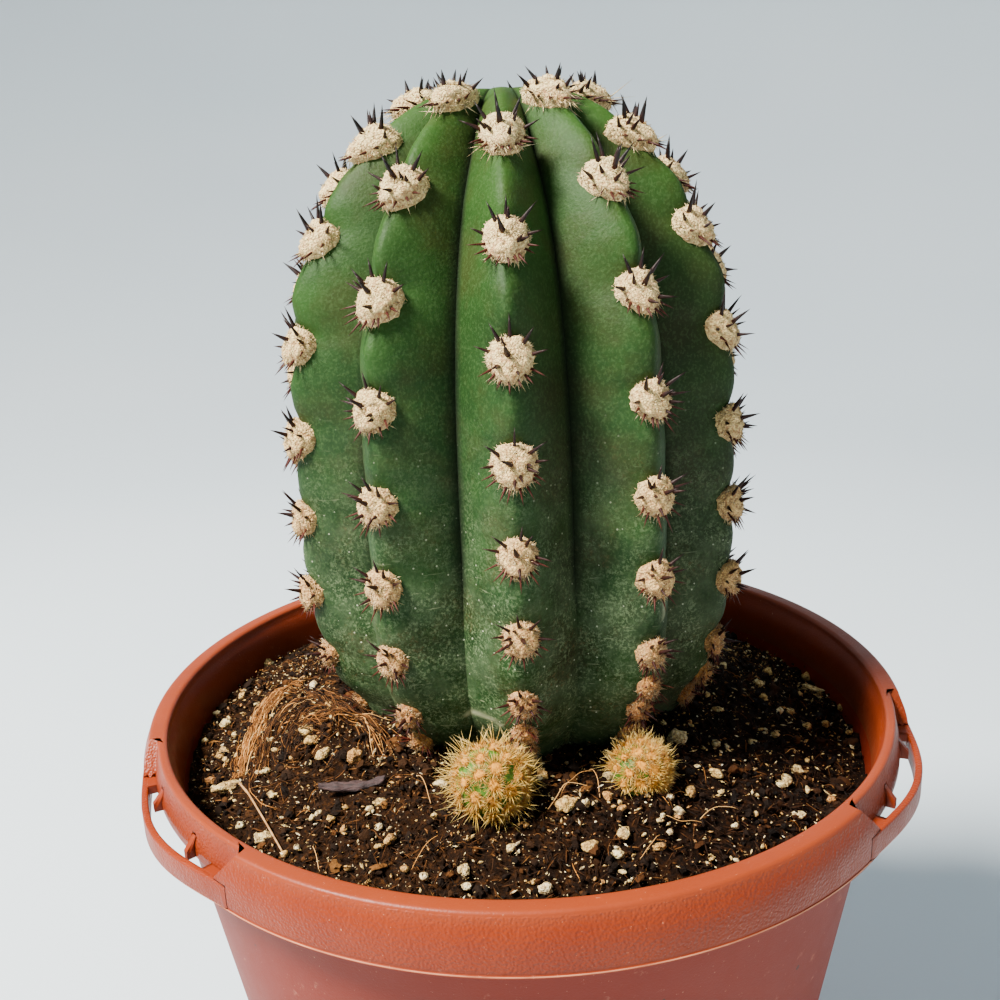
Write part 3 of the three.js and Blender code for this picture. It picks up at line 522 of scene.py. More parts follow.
class Nodes:
    """Short way to build a material's node tree."""

    def __init__(self, name):
        self.material = bpy.data.materials.new(name)
        self.material.use_nodes = True
        self.tree = self.material.node_tree
        self.coordinates = self.new("TexCoord").outputs["Object"]

    def new(self, kind, **inputs):
        """A node of a kind, with its inputs set to values or linked."""
        node = self.tree.nodes.new("ShaderNode" + kind)
        for name, value in inputs.items():
            self.feed(node.inputs[name], value)
        return node

    def feed(self, socket, value):
        if isinstance(value, bpy.types.NodeSocket):
            self.tree.links.new(value, socket)
        else:
            socket.default_value = value

    def shaded(self, colour, roughness, **sockets):
        """Feeds the shader and returns the material."""
        shader = self.tree.nodes["Principled BSDF"]
        sockets.update(Base_Color=colour, Roughness=roughness)
        for name, value in sockets.items():
            self.feed(shader.inputs[name.replace("_", " ")], value)
        return self.material

    def value(self, name):
        node = self.new("Attribute")
        node.attribute_name = name
        return node.outputs["Fac"]

    def axis(self, name):
        return self.new("SeparateXYZ", Vector=self.coordinates).outputs[name]

    def height(self):
        """Height above the lip in millimetres."""
        return self.math("MULTIPLY_ADD", self.axis("Z"), 1 / MM, -LIP)

    def noise(self, size_mm, detail=3.0, roughness=0.55, coordinates=None):
        return self.new("TexNoise", Scale=1 / (size_mm * MM), Detail=detail, Roughness=roughness,
                        Vector=coordinates or self.coordinates).outputs["Fac"]

    def cells(self, size_mm, feature="F1"):
        node = self.new("TexVoronoi", Scale=1 / (size_mm * MM), Vector=self.coordinates)
        node.feature = feature
        return node.outputs["Distance"]

    def stretched(self, x, y, z):
        """Coordinates scaled by shares, so that a texture is drawn out along small ones."""
        return self.new("Mapping", Scale=(x, y, z), Vector=self.coordinates).outputs["Vector"]

    def bump(self, source, depth_mm, strength=1.0):
        node = self.new("Bump", Distance=depth_mm * MM, Strength=strength, Height=source)
        return node.outputs["Normal"]

    def ramp(self, source, *stops):
        node = self.new("ValToRGB", Fac=source)
        elements = node.color_ramp.elements
        while len(elements) < len(stops):
            elements.new(0.5)
        for element, (position, colour) in zip(elements, stops):
            element.position = position
            element.color = as_light(colour)
        return node.outputs["Color"]

    def rise(self, source, low, high):
        """0 where the source is under the low mark and 1 where it is over the high one."""
        return self.ramp(source, (low, 0.0), (high, 1.0))

    def mix(self, share, first, second, mode="MIX"):
        node = self.new("Mix")
        node.data_type = "RGBA"
        node.blend_type = mode
        self.feed(node.inputs[0], share)
        for socket, colour in ((6, first), (7, second)):
            plain = not isinstance(colour, bpy.types.NodeSocket)
            self.feed(node.inputs[socket], as_light(colour) if plain else colour)
        return node.outputs[2]

    def over(self, base, colour, *shares):
        """A colour laid over the base, as much as the product of the shares says."""
        return self.mix(self.times(*shares), base, colour)

    def math(self, operation, *operands, clamp=False):
        node = self.new("Math")
        node.operation = operation
        node.use_clamp = clamp
        for socket, value in zip(node.inputs, operands):
            self.feed(socket, value)
        return node.outputs[0]

    def times(self, first, *others):
        for other in others:
            first = self.math("MULTIPLY", first, other)
        return first

    def below(self, source, limit):
        """1 where the source is below the limit, and 0 elsewhere."""
        return self.math("LESS_THAN", source, limit)

    def share(self, source, slope, start):
        """slope times the source plus start, held between 0 and 1."""
        return self.math("MULTIPLY_ADD", source, slope, start, clamp=True)

    def darken_to_right(self, colour):
        """Darkens a colour towards the right of the pot."""
        share = self.share(self.axis("X"), 1 / (50 * MM), 0.25)
        return self.mix(share, colour, self.mix(1.0, colour, (186, 176, 164), "MULTIPLY"))


def pot_material():
    n = Nodes("pot_plastic")
    height, inside = n.height(), n.value("inside")
    base = n.ramp(n.noise(14, 4), (0.3, (113, 38, 12)), (0.55, (119, 42, 13)), (0.8, (127, 46, 15)))
    # The top of the lip is painted lighter: a painted highlight along its smooth strip.
    base = n.over(base, (138, 66, 38), n.share(height, 0.6, 1.4), 0.3)
    # The wall grows darker brown deeper inside the pot: partly soil stain, partly painted shade.
    soil_stain_and_shade = n.math("MULTIPLY_ADD", n.noise(2.2, 6, 0.7), 0.6, 0.45)
    base = n.over(base, (66, 40, 28), n.math("MULTIPLY", inside, soil_stain_and_shade, clamp=True))
    under = n.below(height, -BAND_HEIGHT - 0.3)
    # The body under the band is painted a darker, deeper red: painted shade under the band's overhang.
    base = n.over(base, (106, 23, 1), under, 0.8)
    # A thin bright line on the moulding flash at the band's lower edge: a painted edge highlight.
    off_line = n.math("ABSOLUTE", n.math("ADD", height, BAND_HEIGHT - 0.3))
    flash = n.times(n.below(off_line, 0.11), n.noise(6, 3))
    base = n.over(base, (226, 150, 110), flash, n.below(inside, 0.02))
    specks = n.below(n.cells(7.5), n.times(n.noise(24, 2), 0.12))
    base = n.over(base, (58, 34, 24), specks, n.times(under, 0.85))
    pale = n.math("GREATER_THAN", n.noise(0.7, 3, 0.7), 0.7)
    base = n.over(base, (222, 160, 128), pale, 0.3)
    scuffs = n.rise(n.noise(4.5, 6, 0.75), 0.62, 0.74)
    base = n.over(base, (216, 150, 120), scuffs, n.share(height, -0.25, -1.5), 0.3)
    grain = n.times(n.cells(0.46, "SMOOTH_F1"), n.value("grained"))
    relief = n.math("ADD", grain, n.times(n.noise(0.3, 2), 0.2))
    rough = n.over(n.ramp(n.noise(5, 3), (0.35, 0.36), (0.7, 0.48)), 0.62, under, 0.7)
    return n.shaded(base, rough, Normal=n.bump(relief, 0.2, 0.8), Specular_IOR_Level=0.17)


def stem_material():
    n = Nodes("cactus_skin")
    height, crest = n.height(), n.value("crest")
    young, old = n.share(height, 1 / 60, -1.0), n.share(height, -1 / 60, 1.15)
    skin = n.ramp(n.noise(16, 4, 0.6), (0.28, (19, 41, 16)), (0.5, (26, 52, 20)), (0.72, (37, 66, 26)))
    skin = n.over(skin, (52, 85, 21), young, 0.4)
    # Darker towards the grooves: painted shade in the creases between the ribs.
    skin = n.over(skin, (14, 30, 9), n.math("SUBTRACT", 1.0, crest), 0.4)
    olive = n.rise(n.noise(11, 4, 0.6), 0.46, 0.66)
    skin = n.over(skin, (50, 42, 18), olive, 0.38)
    # Darker, browner skin on the flanks that face away from the key light: painted shade.
    skin = n.over(skin, (31, 31, 13), n.value("flank_shade"), 0.82)
    haze = n.rise(n.noise(7, 4, 0.7), 0.4, 0.7)
    skin = n.over(skin, (92, 107, 78), haze, old, 0.48)
    stipple = n.rise(n.noise(0.5, 2, 0.6, n.stretched(1, 1, 0.8)), 0.5, 0.62)
    skin = n.over(skin, (70, 94, 54), stipple, 0.2)
    patchy = n.ramp(n.noise(5, 4, 0.65), (0.4, 0.08), (0.6, 1.0))
    specks = n.rise(n.noise(0.62, 5, 0.75), 0.52, 0.56)
    curls = n.noise(1.1, 2, 0.5, n.stretched(1, 1, 0.6))
    curls = n.ramp(curls, (0.488, 0.0), (0.5, 1.0), (0.512, 0.0))
    marks = n.math("MAXIMUM", specks, n.times(curls, 0.8))
    skin = n.over(skin, (132, 148, 108), old, patchy, marks, 0.48)
    rusty = n.rise(n.noise(0.9, 5, 0.75), 0.56, 0.64)
    skin = n.over(skin, (96, 74, 44), rusty, old, n.times(olive, 0.7))
    skin = n.over(skin, (190, 194, 164), n.below(n.cells(2.1), 0.085), old, 0.8)
    lines = n.rise(n.noise(1.5, 3, 0.6, n.stretched(0.3, 0.3, 2.4)), 0.66, 0.72)
    skin = n.over(skin, (146, 154, 118), lines, old, 0.5)
    skin = n.over(skin, (150, 152, 118), n.value("scar"), 0.8)
    # Nearly black in the groove bottoms: painted shade in the creases.
    shut = n.ramp(crest, (0.0, 1.0), (0.2, 0.0))
    skin = n.over(skin, (8, 16, 6), shut, 0.85)
    relief = n.math("ADD", n.times(n.noise(2.6, 5, 0.62), 0.8), n.noise(0.5, 3))
    wrinkles = n.noise(2.2, 2, 0.5, n.stretched(0.35, 0.35, 1.6))
    relief = n.math("ADD", relief, n.times(wrinkles, old, 1.2))
    rough = n.over(n.mix(old, 0.56, 0.66), 0.9, shut)
    return n.shaded(skin, rough, Normal=n.bump(relief, 0.13, 0.7), Specular_IOR_Level=0.11)


def wool_material():
    n = Nodes("areole_wool")
    wool = n.ramp(n.value("age"), (0.0, (255, 234, 168)), (0.45, (255, 226, 156)),
                  (0.8, (250, 204, 128)), (1.0, (226, 162, 80)))
    tufts = n.cells(0.42)
    # Darker in the gaps between the felt tufts: painted shade.
    wool = n.mix(0.6, wool, n.ramp(tufts, (0.4, (255, 252, 246)), (0.8, (158, 94, 54))), "MULTIPLY")
    patch = n.ramp(n.noise(0.8, 5, 0.72), (0.4, (150, 92, 54)), (0.5, (255, 252, 244)))
    wool = n.mix(0.55, wool, patch, "MULTIPLY")
    # Tan on the cushions' lower rims and the hanging strands: partly age staining, partly painted shade
    # from light falling from above.
    age_stain_and_shade = n.ramp(n.noise(1.5, 4, 0.65), (0.4, 0.15), (0.6, 1.0))
    wool = n.over(wool, (176, 108, 56), age_stain_and_shade, n.value("low"), 0.55)
    wool = n.over(wool, (104, 44, 24), n.value("stain"), 0.85)
    wool = n.over(wool, (255, 240, 190), n.value("tone"), 0.65)
    relief = n.math("SUBTRACT", n.noise(0.36, 5, 0.7), tufts)
    return n.shaded(wool, 0.95, Normal=n.bump(relief, 0.5), Specular_IOR_Level=0.1,
                    Sheen_Weight=0.15, Sheen_Roughness=0.6)


def spine_material():
    n = Nodes("spines")
    colour = n.ramp(n.value("along"), (0.0, (74, 28, 17)), (0.2, (36, 15, 11)),
                    (0.5, (15, 9, 8)), (1.0, (9, 7, 6)))
    colour = n.over(colour, (88, 32, 18), n.share(n.value("age"), 0.2, n.value("red")), 0.75)
    return n.shaded(colour, 0.5, Normal=n.bump(n.noise(0.3, 2), 0.05), Specular_IOR_Level=0.2)


def offset_skin_material():
    n = Nodes("offset_skin")
    skin = n.ramp(n.noise(2.5, 3), (0.3, (44, 78, 14)), (0.7, (78, 116, 24)))
    return n.shaded(skin, 0.6, Normal=n.bump(n.noise(0.6, 3), 0.1), Specular_IOR_Level=0.3)


def offset_wool_material():
    n = Nodes("offset_wool")
    wool = n.ramp(n.value("tone"), (0.0, (176, 108, 6)), (0.5, (204, 142, 20)), (1.0, (226, 188, 74)))
    return n.shaded(wool, 0.9, Normal=n.bump(n.noise(0.4, 3), 0.2), Sheen_Weight=0.15)


def needle_material():
    n = Nodes("offset_needles")
    colour = n.ramp(n.value("along"), (0.0, (192, 128, 18)), (0.4, (222, 178, 72)),
                    (1.0, (240, 214, 142)))
    return n.shaded(colour, 0.55, Specular_IOR_Level=0.4)


def soil_material():
    n = Nodes("potting_soil")
    first = n.noise(1.1, 8, 0.75)
    soil = n.ramp(first, (0.34, (19, 12, 6)), (0.5, (38, 23, 11)),
                  (0.62, (70, 43, 18)), (0.76, (104, 68, 30)))
    patch = n.ramp(n.noise(6.5, 4, 0.6), (0.35, (130, 112, 96)), (0.65, (255, 232, 204)))
    soil = n.mix(0.5, soil, patch, "MULTIPLY")
    soil = n.over(soil, (190, 166, 126), n.below(n.cells(0.9), 0.14), 0.6)
    relief = n.math("ADD", first, n.times(n.noise(0.5, 4, 0.7), 0.5))
    return n.shaded(n.darken_to_right(soil), 0.9, Normal=n.bump(relief, 0.9), Specular_IOR_Level=0.08)


def crumb_material():
    n = Nodes("soil_crumbs")
    crumb = n.ramp(n.value("tone"), (0.0, (17, 11, 6)), (0.3, (34, 21, 10)), (0.55, (60, 37, 16)),
                   (0.78, (96, 60, 26)), (1.0, (146, 102, 50)))
    patch = n.ramp(n.noise(0.7, 4, 0.7), (0.3, (120, 100, 84)), (0.7, (255, 240, 220)))
    crumb = n.darken_to_right(n.mix(0.6, crumb, patch, "MULTIPLY"))
    return n.shaded(crumb, 0.8, Normal=n.bump(n.noise(0.4, 4, 0.7), 0.35, 0.9), Specular_IOR_Level=0.12)


def perlite_material():
    n = Nodes("perlite")
    grain = n.ramp(n.value("tone"), (0.0, (230, 222, 196)), (0.35, (222, 208, 156)),
                   (0.65, (208, 178, 108)), (1.0, (176, 118, 54)))
    stain = n.ramp(n.noise(0.9, 5, 0.72), (0.4, (92, 62, 34)), (0.5, (226, 196, 140)),
                   (0.58, (255, 255, 255)))
    pits = n.math("ADD", n.math("MINIMUM", n.cells(0.4), 0.6), n.noise(0.7, 4, 0.7))
    return n.shaded(n.mix(0.85, grain, stain, "MULTIPLY"), 0.85, Normal=n.bump(pits, 0.4))


def fibre_material():
    n = Nodes("dry_fibre")
    colour = n.ramp(n.value("tone"), (0.0, (20, 12, 7)), (0.35, (52, 31, 15)),
                    (0.6, (112, 68, 30)), (0.82, (180, 118, 54)), (1.0, (218, 172, 108)))
    return n.shaded(colour, 0.75, Normal=n.bump(n.noise(0.4, 3), 0.1), Specular_IOR_Level=0.15)


def bark_material():
    n = Nodes("bark")
    colour = n.ramp(n.noise(1.0, 6, 0.75, n.stretched(0.35, 1, 1)), (0.34, (22, 13, 13)),
                    (0.56, (62, 40, 38)), (0.76, (104, 76, 66)))
    return n.shaded(colour, 0.7, Normal=n.bump(n.noise(0.6, 5, 0.7, n.stretched(0.3, 1, 1)), 0.5))


def straw_material():
    n = Nodes("straw")
    colour = n.ramp(n.noise(1.6, 4), (0.3, (128, 84, 44)), (0.65, (186, 142, 90)))
    return n.shaded(colour, 0.6, Normal=n.bump(n.noise(0.3, 3), 0.08))


def floor_material():
    n = Nodes("studio")
    colour = n.ramp(n.noise(400, 1), (0.3, (204, 216, 223)), (0.7, (210, 221, 227)))
    return n.shaded(colour, 0.9, Specular_IOR_Level=0.1)


# Pot


def wall_radius(height):
    return BODY_RADIUS_AT_LIP - BODY_TAPER * (LIP - height)


def wall_points(first, last, count, inset=0):
    return [(wall_radius(z) - inset, z) for z in np.linspace(first, last, count)]


def arc_points(centre, radius, start, end, steps):
    """Points on an arc in the radius-height plane; angles in degrees."""
    angles = np.radians(np.linspace(start, end, steps))
    return [(centre[0] + radius * math.cos(a), centre[1] + radius * math.sin(a)) for a in angles]


def band_radius(height):
    shoulder = LIP - BAND_SHOULDER
    rise = np.clip((height - shoulder) / (BAND_SHOULDER - LIP_EDGE), 0, 1)
    return BAND_RADIUS - (BAND_RADIUS - LIP_OUTER_RADIUS) * rise ** 2.2


def foot_outline():
    base = wall_radius(0)
    rounded = arc_points((base - FOOT_BEVEL, FOOT_BEVEL), FOOT_BEVEL, -90, 0, 5)
    rings = [(0.01, 0), (DRAIN_CIRCLE_RADIUS, 0), (base - 6, 0)] + rounded
    return rings + wall_points(8, RECESS_UNDERSIDE - 4, 12)


def outer_outlines():
    """The rim from the wall out and up to the lip: open under the band, filled under it, and
    at a recess. The three have the same number of points, so one can turn into another."""
    under, bottom = RECESS_UNDERSIDE, BAND_BOTTOM
    roof = LIP - LIP_THICKNESS
    skirt = BAND_RADIUS - BAND_THICKNESS
    band_heights = (bottom + 1.2, LIP - BAND_SHOULDER, LIP - 5.4, LIP - 4.2, LIP - 3.1, LIP - 2.1)
    edge_centre = (LIP_OUTER_RADIUS - LIP_EDGE, LIP - LIP_EDGE)
    lip_edge = arc_points(edge_centre, LIP_EDGE, 5, 90, 6)
    flash = [(BAND_RADIUS - 0.25, bottom), (BAND_RADIUS, bottom + 0.05),
             (BAND_RADIUS, bottom + FLASH), (BAND_RADIUS - 0.16, bottom + FLASH + 0.2)]
    band = [(band_radius(z) - 0.12, z) for z in band_heights]
    opened = [(wall_radius(under), under), (wall_radius(roof), roof), (LIP_OUTER_RADIUS - 1.3, roof),
              (skirt - 0.4, LIP - 5), (skirt, bottom)] + flash + band + lip_edge
    filled = list(opened)
    filled[1:5] = [(wall_radius(under) + 1, under), (skirt - 1, under),
                   (skirt - 0.1, under), (skirt, bottom)]
    wall_shares = np.linspace(0, 1, len(band))
    cut = [(wall_radius(under), under), (wall_radius(under) + 0.8, under)]
    cut += [(RECESS_FLOOR_RADIUS - 0.5, under)] * 2
    cut += [(RECESS_FLOOR_RADIUS - 0.1, under)]
    cut += [(RECESS_FLOOR_RADIUS, under + 0.1 + 0.3 * step) for step in range(len(flash))]
    cut += [(RECESS_FLOOR_RADIUS + (RECESS_TOP_RADIUS - RECESS_FLOOR_RADIUS) * s,
             RECESS_SHELF + (RECESS_DEPTH - 0.7) * s) for s in wall_shares]
    cut += arc_points((RECESS_TOP_RADIUS - 0.6, LIP - 0.6), 0.6, 5, 90, len(lip_edge))
    return np.array(opened), np.array(filled), np.array(cut)


def inner_outline():
    edge = arc_points((LIP_INNER_RADIUS + LIP_EDGE, LIP - LIP_EDGE), LIP_EDGE, 90, 180, 6)
    inside = [(LIP_INNER_RADIUS - 0.25, LIP - LIP_DEPTH_INSIDE + 0.8),
              (wall_radius(LIP - LIP_DEPTH_INSIDE) - WALL, LIP - LIP_DEPTH_INSIDE)]
    wall = wall_points(LIP - 6, FLOOR + 2, 16, WALL)
    corner = arc_points((wall_radius(FLOOR) - WALL - 1.5, FLOOR + 1.5), 1.5, 0, -90, 4)
    return edge + inside + wall + corner + [(DRAIN_CIRCLE_RADIUS, FLOOR), (0.01, FLOOR)]


def hanger_columns():
    """Offsets in degrees from a hanger, close together where the rim changes shape."""
    change = [RECESS_HALF_ARC + d for d in (-0.2, -0.12, -0.06, 0.0, 0.06, 0.12, 0.2)]
    fill = [STRAP_HALF_ARC + 1 + d for d in (-0.1, 0.1)]
    half = list(np.arange(0, RECESS_HALF_ARC - 0.4, 1.0)) + change
    half += [RECESS_HALF_ARC + 0.8, RECESS_HALF_ARC + 1.8] + fill
    half += list(np.arange(STRAP_HALF_ARC + 2, 60, 1.0)) + [60.0]
    return [-offset for offset in reversed(half[1:-1])] + half


def bulge(offset):
    """How far a strap stands out from the band. Its ends sink into the band."""
    sunk = STRAP_SINK * float(smooth((abs(offset) - RECESS_HALF_ARC - 0.3) / 1.2))
    return STRAP_BULGE * math.cos(offset / STRAP_HALF_ARC * math.pi / 2) ** 2 - sunk


def arc_solid(azimuth, offsets, outline_at):
    """A closed outline of radius and height, swept about the pot's axis."""
    points = []
    for offset in offsets:
        angle = math.radians(azimuth + offset)
        points += [polar(r, angle, z) for r, z in outline_at(offset)]
    return np.array(points), capped(len(offsets), len(points) // len(offsets))


def rounded_box(low_r, high_r, low_z, high_z, radius):
    corners = ((high_r - radius, low_z + radius, -90), (high_r - radius, high_z - radius, 0),
               (low_r + radius, high_z - radius, 90), (low_r + radius, low_z + radius, 180))
    outline = []
    for r, z, start in corners:
        outline += arc_points((r, z), radius, start, start + 90, 4)
    return outline


def pot_shell_mesh():
    opened, filled, cut = outer_outlines()
    foot, inner = np.array(foot_outline()), np.array(inner_outline())
    points, grained, inside = [], [], []
    for hanger in HANGER_AZIMUTHS:
        for offset in hanger_columns():
            away = abs(offset)
            recess = smooth((RECESS_HALF_ARC + 0.2 - away) / 0.4)
            rim = filled if away < STRAP_HALF_ARC + 1 else opened
            rim = rim * (1 - recess) + cut * recess
            outline = np.concatenate([foot, rim, inner])
            height_share = (outline[:, 1] - RECESS_SHELF) / (LIP - RECESS_SHELF)
            slant = RECESS_END_SLANT * np.clip(2 * height_share - 1, -1, 1)
            beyond = away - RECESS_HALF_ARC
            reach = away / RECESS_HALF_ARC if beyond < 0 else max(0.0, 1 - beyond / 3)
            shift = RECESS_HALF_ARC * slant * reach * np.sign(offset)
            is_rim = np.zeros(len(outline))
            is_rim[len(foot) + UNDERSIDE_POINTS:len(foot) + len(rim)] = 1
            angle = np.radians(hanger + offset + shift * is_rim)
            points.append(np.stack([
                outline[:, 0] * np.cos(angle), outline[:, 0] * np.sin(angle), outline[:, 1],
            ], axis=1))
            on_band = np.zeros(len(outline))
            on_band[len(foot) + UNDERSIDE_POINTS + FLASH_POINTS:len(foot) + len(rim) - 5] = 1
            grained.append(0.12 + 0.88 * on_band)
            is_inside = np.zeros(len(outline))
            depth = LIP - inner[:, 1]
            is_inside[-len(inner):] = np.clip((depth - 5) / 7, 0, 1)
            inside.append(is_inside)
    count, size = len(points), len(points[0])
    stacked = np.concatenate(points)
    faces = []
    for column in range(count):
        after = (column + 1) % count
        for row in range(size - 1):
            faces.append((column * size + row, after * size + row,
                          after * size + row + 1, column * size + row + 1))
    return stacked, faces, np.concatenate(grained), np.concatenate(inside)


def add_pot(material):
    heap = Heap()
    points, faces, grained, inside = pot_shell_mesh()
    heap.add(points, faces, grained=grained, inside=inside)
    strap_offsets = np.linspace(-STRAP_HALF_ARC, STRAP_HALF_ARC, 49)
    for hanger in HANGER_AZIMUTHS:
        heap.add(*arc_solid(hanger, strap_offsets, lambda o: rounded_box(
            BAND_RADIUS - STRAP_THICKNESS + bulge(o), BAND_RADIUS - 0.06 + bulge(o),
            BAND_BOTTOM + 0.02, RECESS_SHELF - 0.02, 0.35)), grained=0.8, inside=0)
        for side in (-1, 1):
            pad = np.linspace(SLOT_HALF_ARC, RECESS_HALF_ARC + 1, 8)
            heap.add(*arc_solid(hanger, pad if side > 0 else -pad[::-1], lambda o: rounded_box(
                RECESS_FLOOR_RADIUS - 0.6, BAND_RADIUS - 0.5 + bulge(o),
                RECESS_UNDERSIDE, RECESS_SHELF - 0.05, 0.2)), grained=0.3, inside=0)
            heap.add(*tooth_mesh(hanger + side * TOOTH_OFFSET), grained=0.1, inside=0)
    pot = heap.piece("pot_shell", material, "pot_plastic", node="pot", smooth_angle=32)
    drill_holes(pot)


def tooth_mesh(azimuth):
    """A wedge on the recess wall, thinnest at its top."""
    top, bottom = LIP - LIP_THICKNESS + 0.6, RECESS_UNDERSIDE
    tip = RECESS_FLOOR_RADIUS + TOOTH_REACH
    outline = [(RECESS_TOP_RADIUS - 1, top), (RECESS_FLOOR_RADIUS - 1, bottom),
               (tip, bottom), (tip, RECESS_SHELF)]
    angle = math.radians(azimuth)
    outward = np.array(polar(1, angle))
    aside = np.array([-math.sin(angle), math.cos(angle), 0])
    points = []
    for shift in (-0.5, 0.5):
        points += [outward * r + aside * shift * TOOTH_WIDTH + [0, 0, z] for r, z in outline]
    faces = [(3, 2, 1, 0), (4, 5, 6, 7)]
    faces += [(i, (i + 1) % 4, 4 + (i + 1) % 4, 4 + i) for i in range(4)]
    return np.array(points), faces


def drill_holes(pot):
    """Cuts the drain holes through the pot's floor."""
    cutter_mesh = bpy.data.meshes.new("drill")
    points, faces = [], []
    sides = 32
    for turn in around(DRAIN_HOLES):
        x, y, _ = polar(DRAIN_CIRCLE_RADIUS, turn)
        faces += capped(2, sides, len(points))
        for z in (-5, FLOOR + 1):
            points += [(x + DRAIN_HOLE_RADIUS * math.cos(t), y + DRAIN_HOLE_RADIUS * math.sin(t), z)
                       for t in around(sides)]
    cutter_mesh.from_pydata((np.array(points) * MM).tolist(), [], faces)
    cutter = new_object("drill", cutter_mesh)
    cut = pot.modifiers.new("holes", "BOOLEAN")
    cut.operation = "DIFFERENCE"
    cut.solver = "EXACT"
    cut.use_self = True
    cut.object = cutter
    shown = pot.evaluated_get(bpy.context.evaluated_depsgraph_get())
    drilled = bpy.data.meshes.new_from_object(shown)
    pot.modifiers.clear()
    pot.data = drilled
    bpy.data.objects.remove(cutter)


# Soil


def clods(x, y):
    first = np.sin(0.61 * x + 0.23 * y + 1.1) * np.sin(0.19 * x - 0.57 * y)
    second = np.sin(0.93 * y - 0.41 * x + 2.3) * np.cos(0.77 * x + 0.31 * y)
    return first + second


def soil_height(x, y):
    distance = np.hypot(x, y)
    share = (MOUND_OUTER_RADIUS - distance) / (MOUND_OUTER_RADIUS - MOUND_INNER_RADIUS)
    mound = MOUND_HEIGHT * smooth(share) - SOIL_DEPTH_AT_WALL
    slope = SOIL_FALL_TO_FRONT * y - SOIL_FALL_TO_RIGHT * x
    fall = slope * smooth(distance / SOIL_FALL_FROM_RADIUS)
    ball_x, ball_y, ball_radius, ball_height = ROOT_BALL
    ball = ball_height * smooth(1 - np.hypot(x - ball_x, y - ball_y) / ball_radius)
    bank = BANK_HEIGHT * smooth(1 - np.hypot(x - BANK_X, y - BANK_Y) / BANK_REACH)
    return LIP + mound + fall + ball + bank + CLUMP_HEIGHT * clods(x, y)


def add_soil_bed(material):
    steps = np.linspace(-1, 1, SOIL_GRID)
    u, v = np.meshgrid(steps, steps, indexing="ij")
    x = (u * np.sqrt(1 - v * v / 2) * SOIL_EDGE_RADIUS).ravel()
    y = (v * np.sqrt(1 - u * u / 2) * SOIL_EDGE_RADIUS).ravel()
    flat = np.stack([x, y, np.zeros_like(x)], axis=1)
    height = soil_height(x, y)
    lumps_here = 1.1 * noise_at(flat, 5.0, 1) + 0.75 * noise_at(flat, 2.1, 2)
    height += lumps_here + 0.45 * noise_at(flat, 1.0, 3)
    height -= BED_SINK
    points = np.stack([x, y, height], axis=1)
    faces = []
    for i in range(SOIL_GRID - 1):
        for j in range(SOIL_GRID - 1):
            a = i * SOIL_GRID + j
            faces.append((a, a + SOIL_GRID, a + SOIL_GRID + 1, a + 1))
    last = SOIL_GRID - 1
    edge = [i * SOIL_GRID for i in range(last)] + [last * SOIL_GRID + j for j in range(last)]
    edge += [i * SOIL_GRID + last for i in range(last, 0, -1)] + list(range(last, 0, -1))
    bottom_height = FLOOR + 0.3
    bottom_radius = wall_radius(bottom_height) - WALL - 0.4
    start = len(points)
    rim = points[edge]
    lower = rim * [bottom_radius / SOIL_EDGE_RADIUS, bottom_radius / SOIL_EDGE_RADIUS, 0]
    lower[:, 2] = bottom_height
    points = np.concatenate([points, lower])
    count = len(edge)
    for side in range(count):
        after = (side + 1) % count
        faces.append((edge[after], edge[side], start + side, start + after))
    faces.append(tuple(range(start, start + count)))
    add_piece("soil_bed", points, faces, material, "potting_soil", node="soil")


def spread(rng, count, inner, outer):
    """Random places on the soil, outside the stem's foot and off the larger litter."""
    found = []
    while len(found) < count:
        distance = math.sqrt(rng.uniform(inner ** 2, outer ** 2))
        angle = rng.uniform(0, 2 * math.pi)
        x, y, _ = polar(distance, angle)
        if distance > stem_foot_radius(angle) - 1.5 and not under_litter(x, y):
            found.append((x, y, float(soil_height(x, y))))
    return np.array(found)


def under_litter(x, y):
    """True where the bark strip or the dry stalk lies."""
    turn = math.radians(BARK[2])
    dx, dy = x - BARK[0], y - BARK[1]
    along = dx * math.cos(turn) + dy * math.sin(turn)
    aside = dy * math.cos(turn) - dx * math.sin(turn)
    on_bark = abs(along) < BARK[3] / 2 + 0.3 and abs(aside) < BARK[4] / 2 + 0.2
    routes = zip(STRAW_ROUTE[:-1], STRAW_ROUTE[1:])
    return on_bark or any(line_distance(x, y, start, end) < 0.9 for start, end in routes)


def line_distance(x, y, start, end):
    dx, dy = end[0] - start[0], end[1] - start[1]
    share = ((x - start[0]) * dx + (y - start[1]) * dy) / (dx * dx + dy * dy)
    share = min(max(share, 0.0), 1.0)
    return math.hypot(x - start[0] - share * dx, y - start[1] - share * dy)


def stem_foot_radius(angle):
    position = (math.degrees(angle) - FIRST_RIB_AZIMUTH) / RIB_SPACING
    off_crest = abs(position - round(position)) * 2
    return STEM_FOOT_RADIUS - GROOVE_DEPTH * groove_share(off_crest)


def add_crumbs(material):
    rng = np.random.default_rng(4)
    for name, count, level, smallest, largest, power in (
            ("soil_crumbs", CRUMBS, 1, 0.2, 0.8, 2.2), ("soil_clods", CLODS, 2, 0.7, 1.5, 2.0)):
        places = spread(rng, count, LOOSE_FROM_RADIUS, SOIL_EDGE_RADIUS - 0.4)
        sizes = smallest + (largest - smallest) * rng.uniform(0, 1, count) ** power
        sizes = np.minimum(sizes, (SOIL_EDGE_RADIUS + 0.2 - np.hypot(places[:, 0], places[:, 1])) / 1.3)
        sizes = np.maximum(sizes, 0.15)
        places[:, 2] += rng.uniform(-0.4, 0.9, count) - 0.3 * sizes
        add_toned(name, material, lumps(places, sizes, rng, level, 0.3, 0.5), rng.beta, (1.5, 2.8), 40)


def add_toned(name, material, grains, draw, limits, sharp_from):
    """Grains as one piece. Each has a tone drawn within the limits."""
    points, faces, corners = grains
    tone = np.repeat(draw(*limits, len(points) // corners), corners)
    add_piece(name, points, faces, material, "potting_soil", values={"tone": tone},
              smooth_angle=sharp_from)


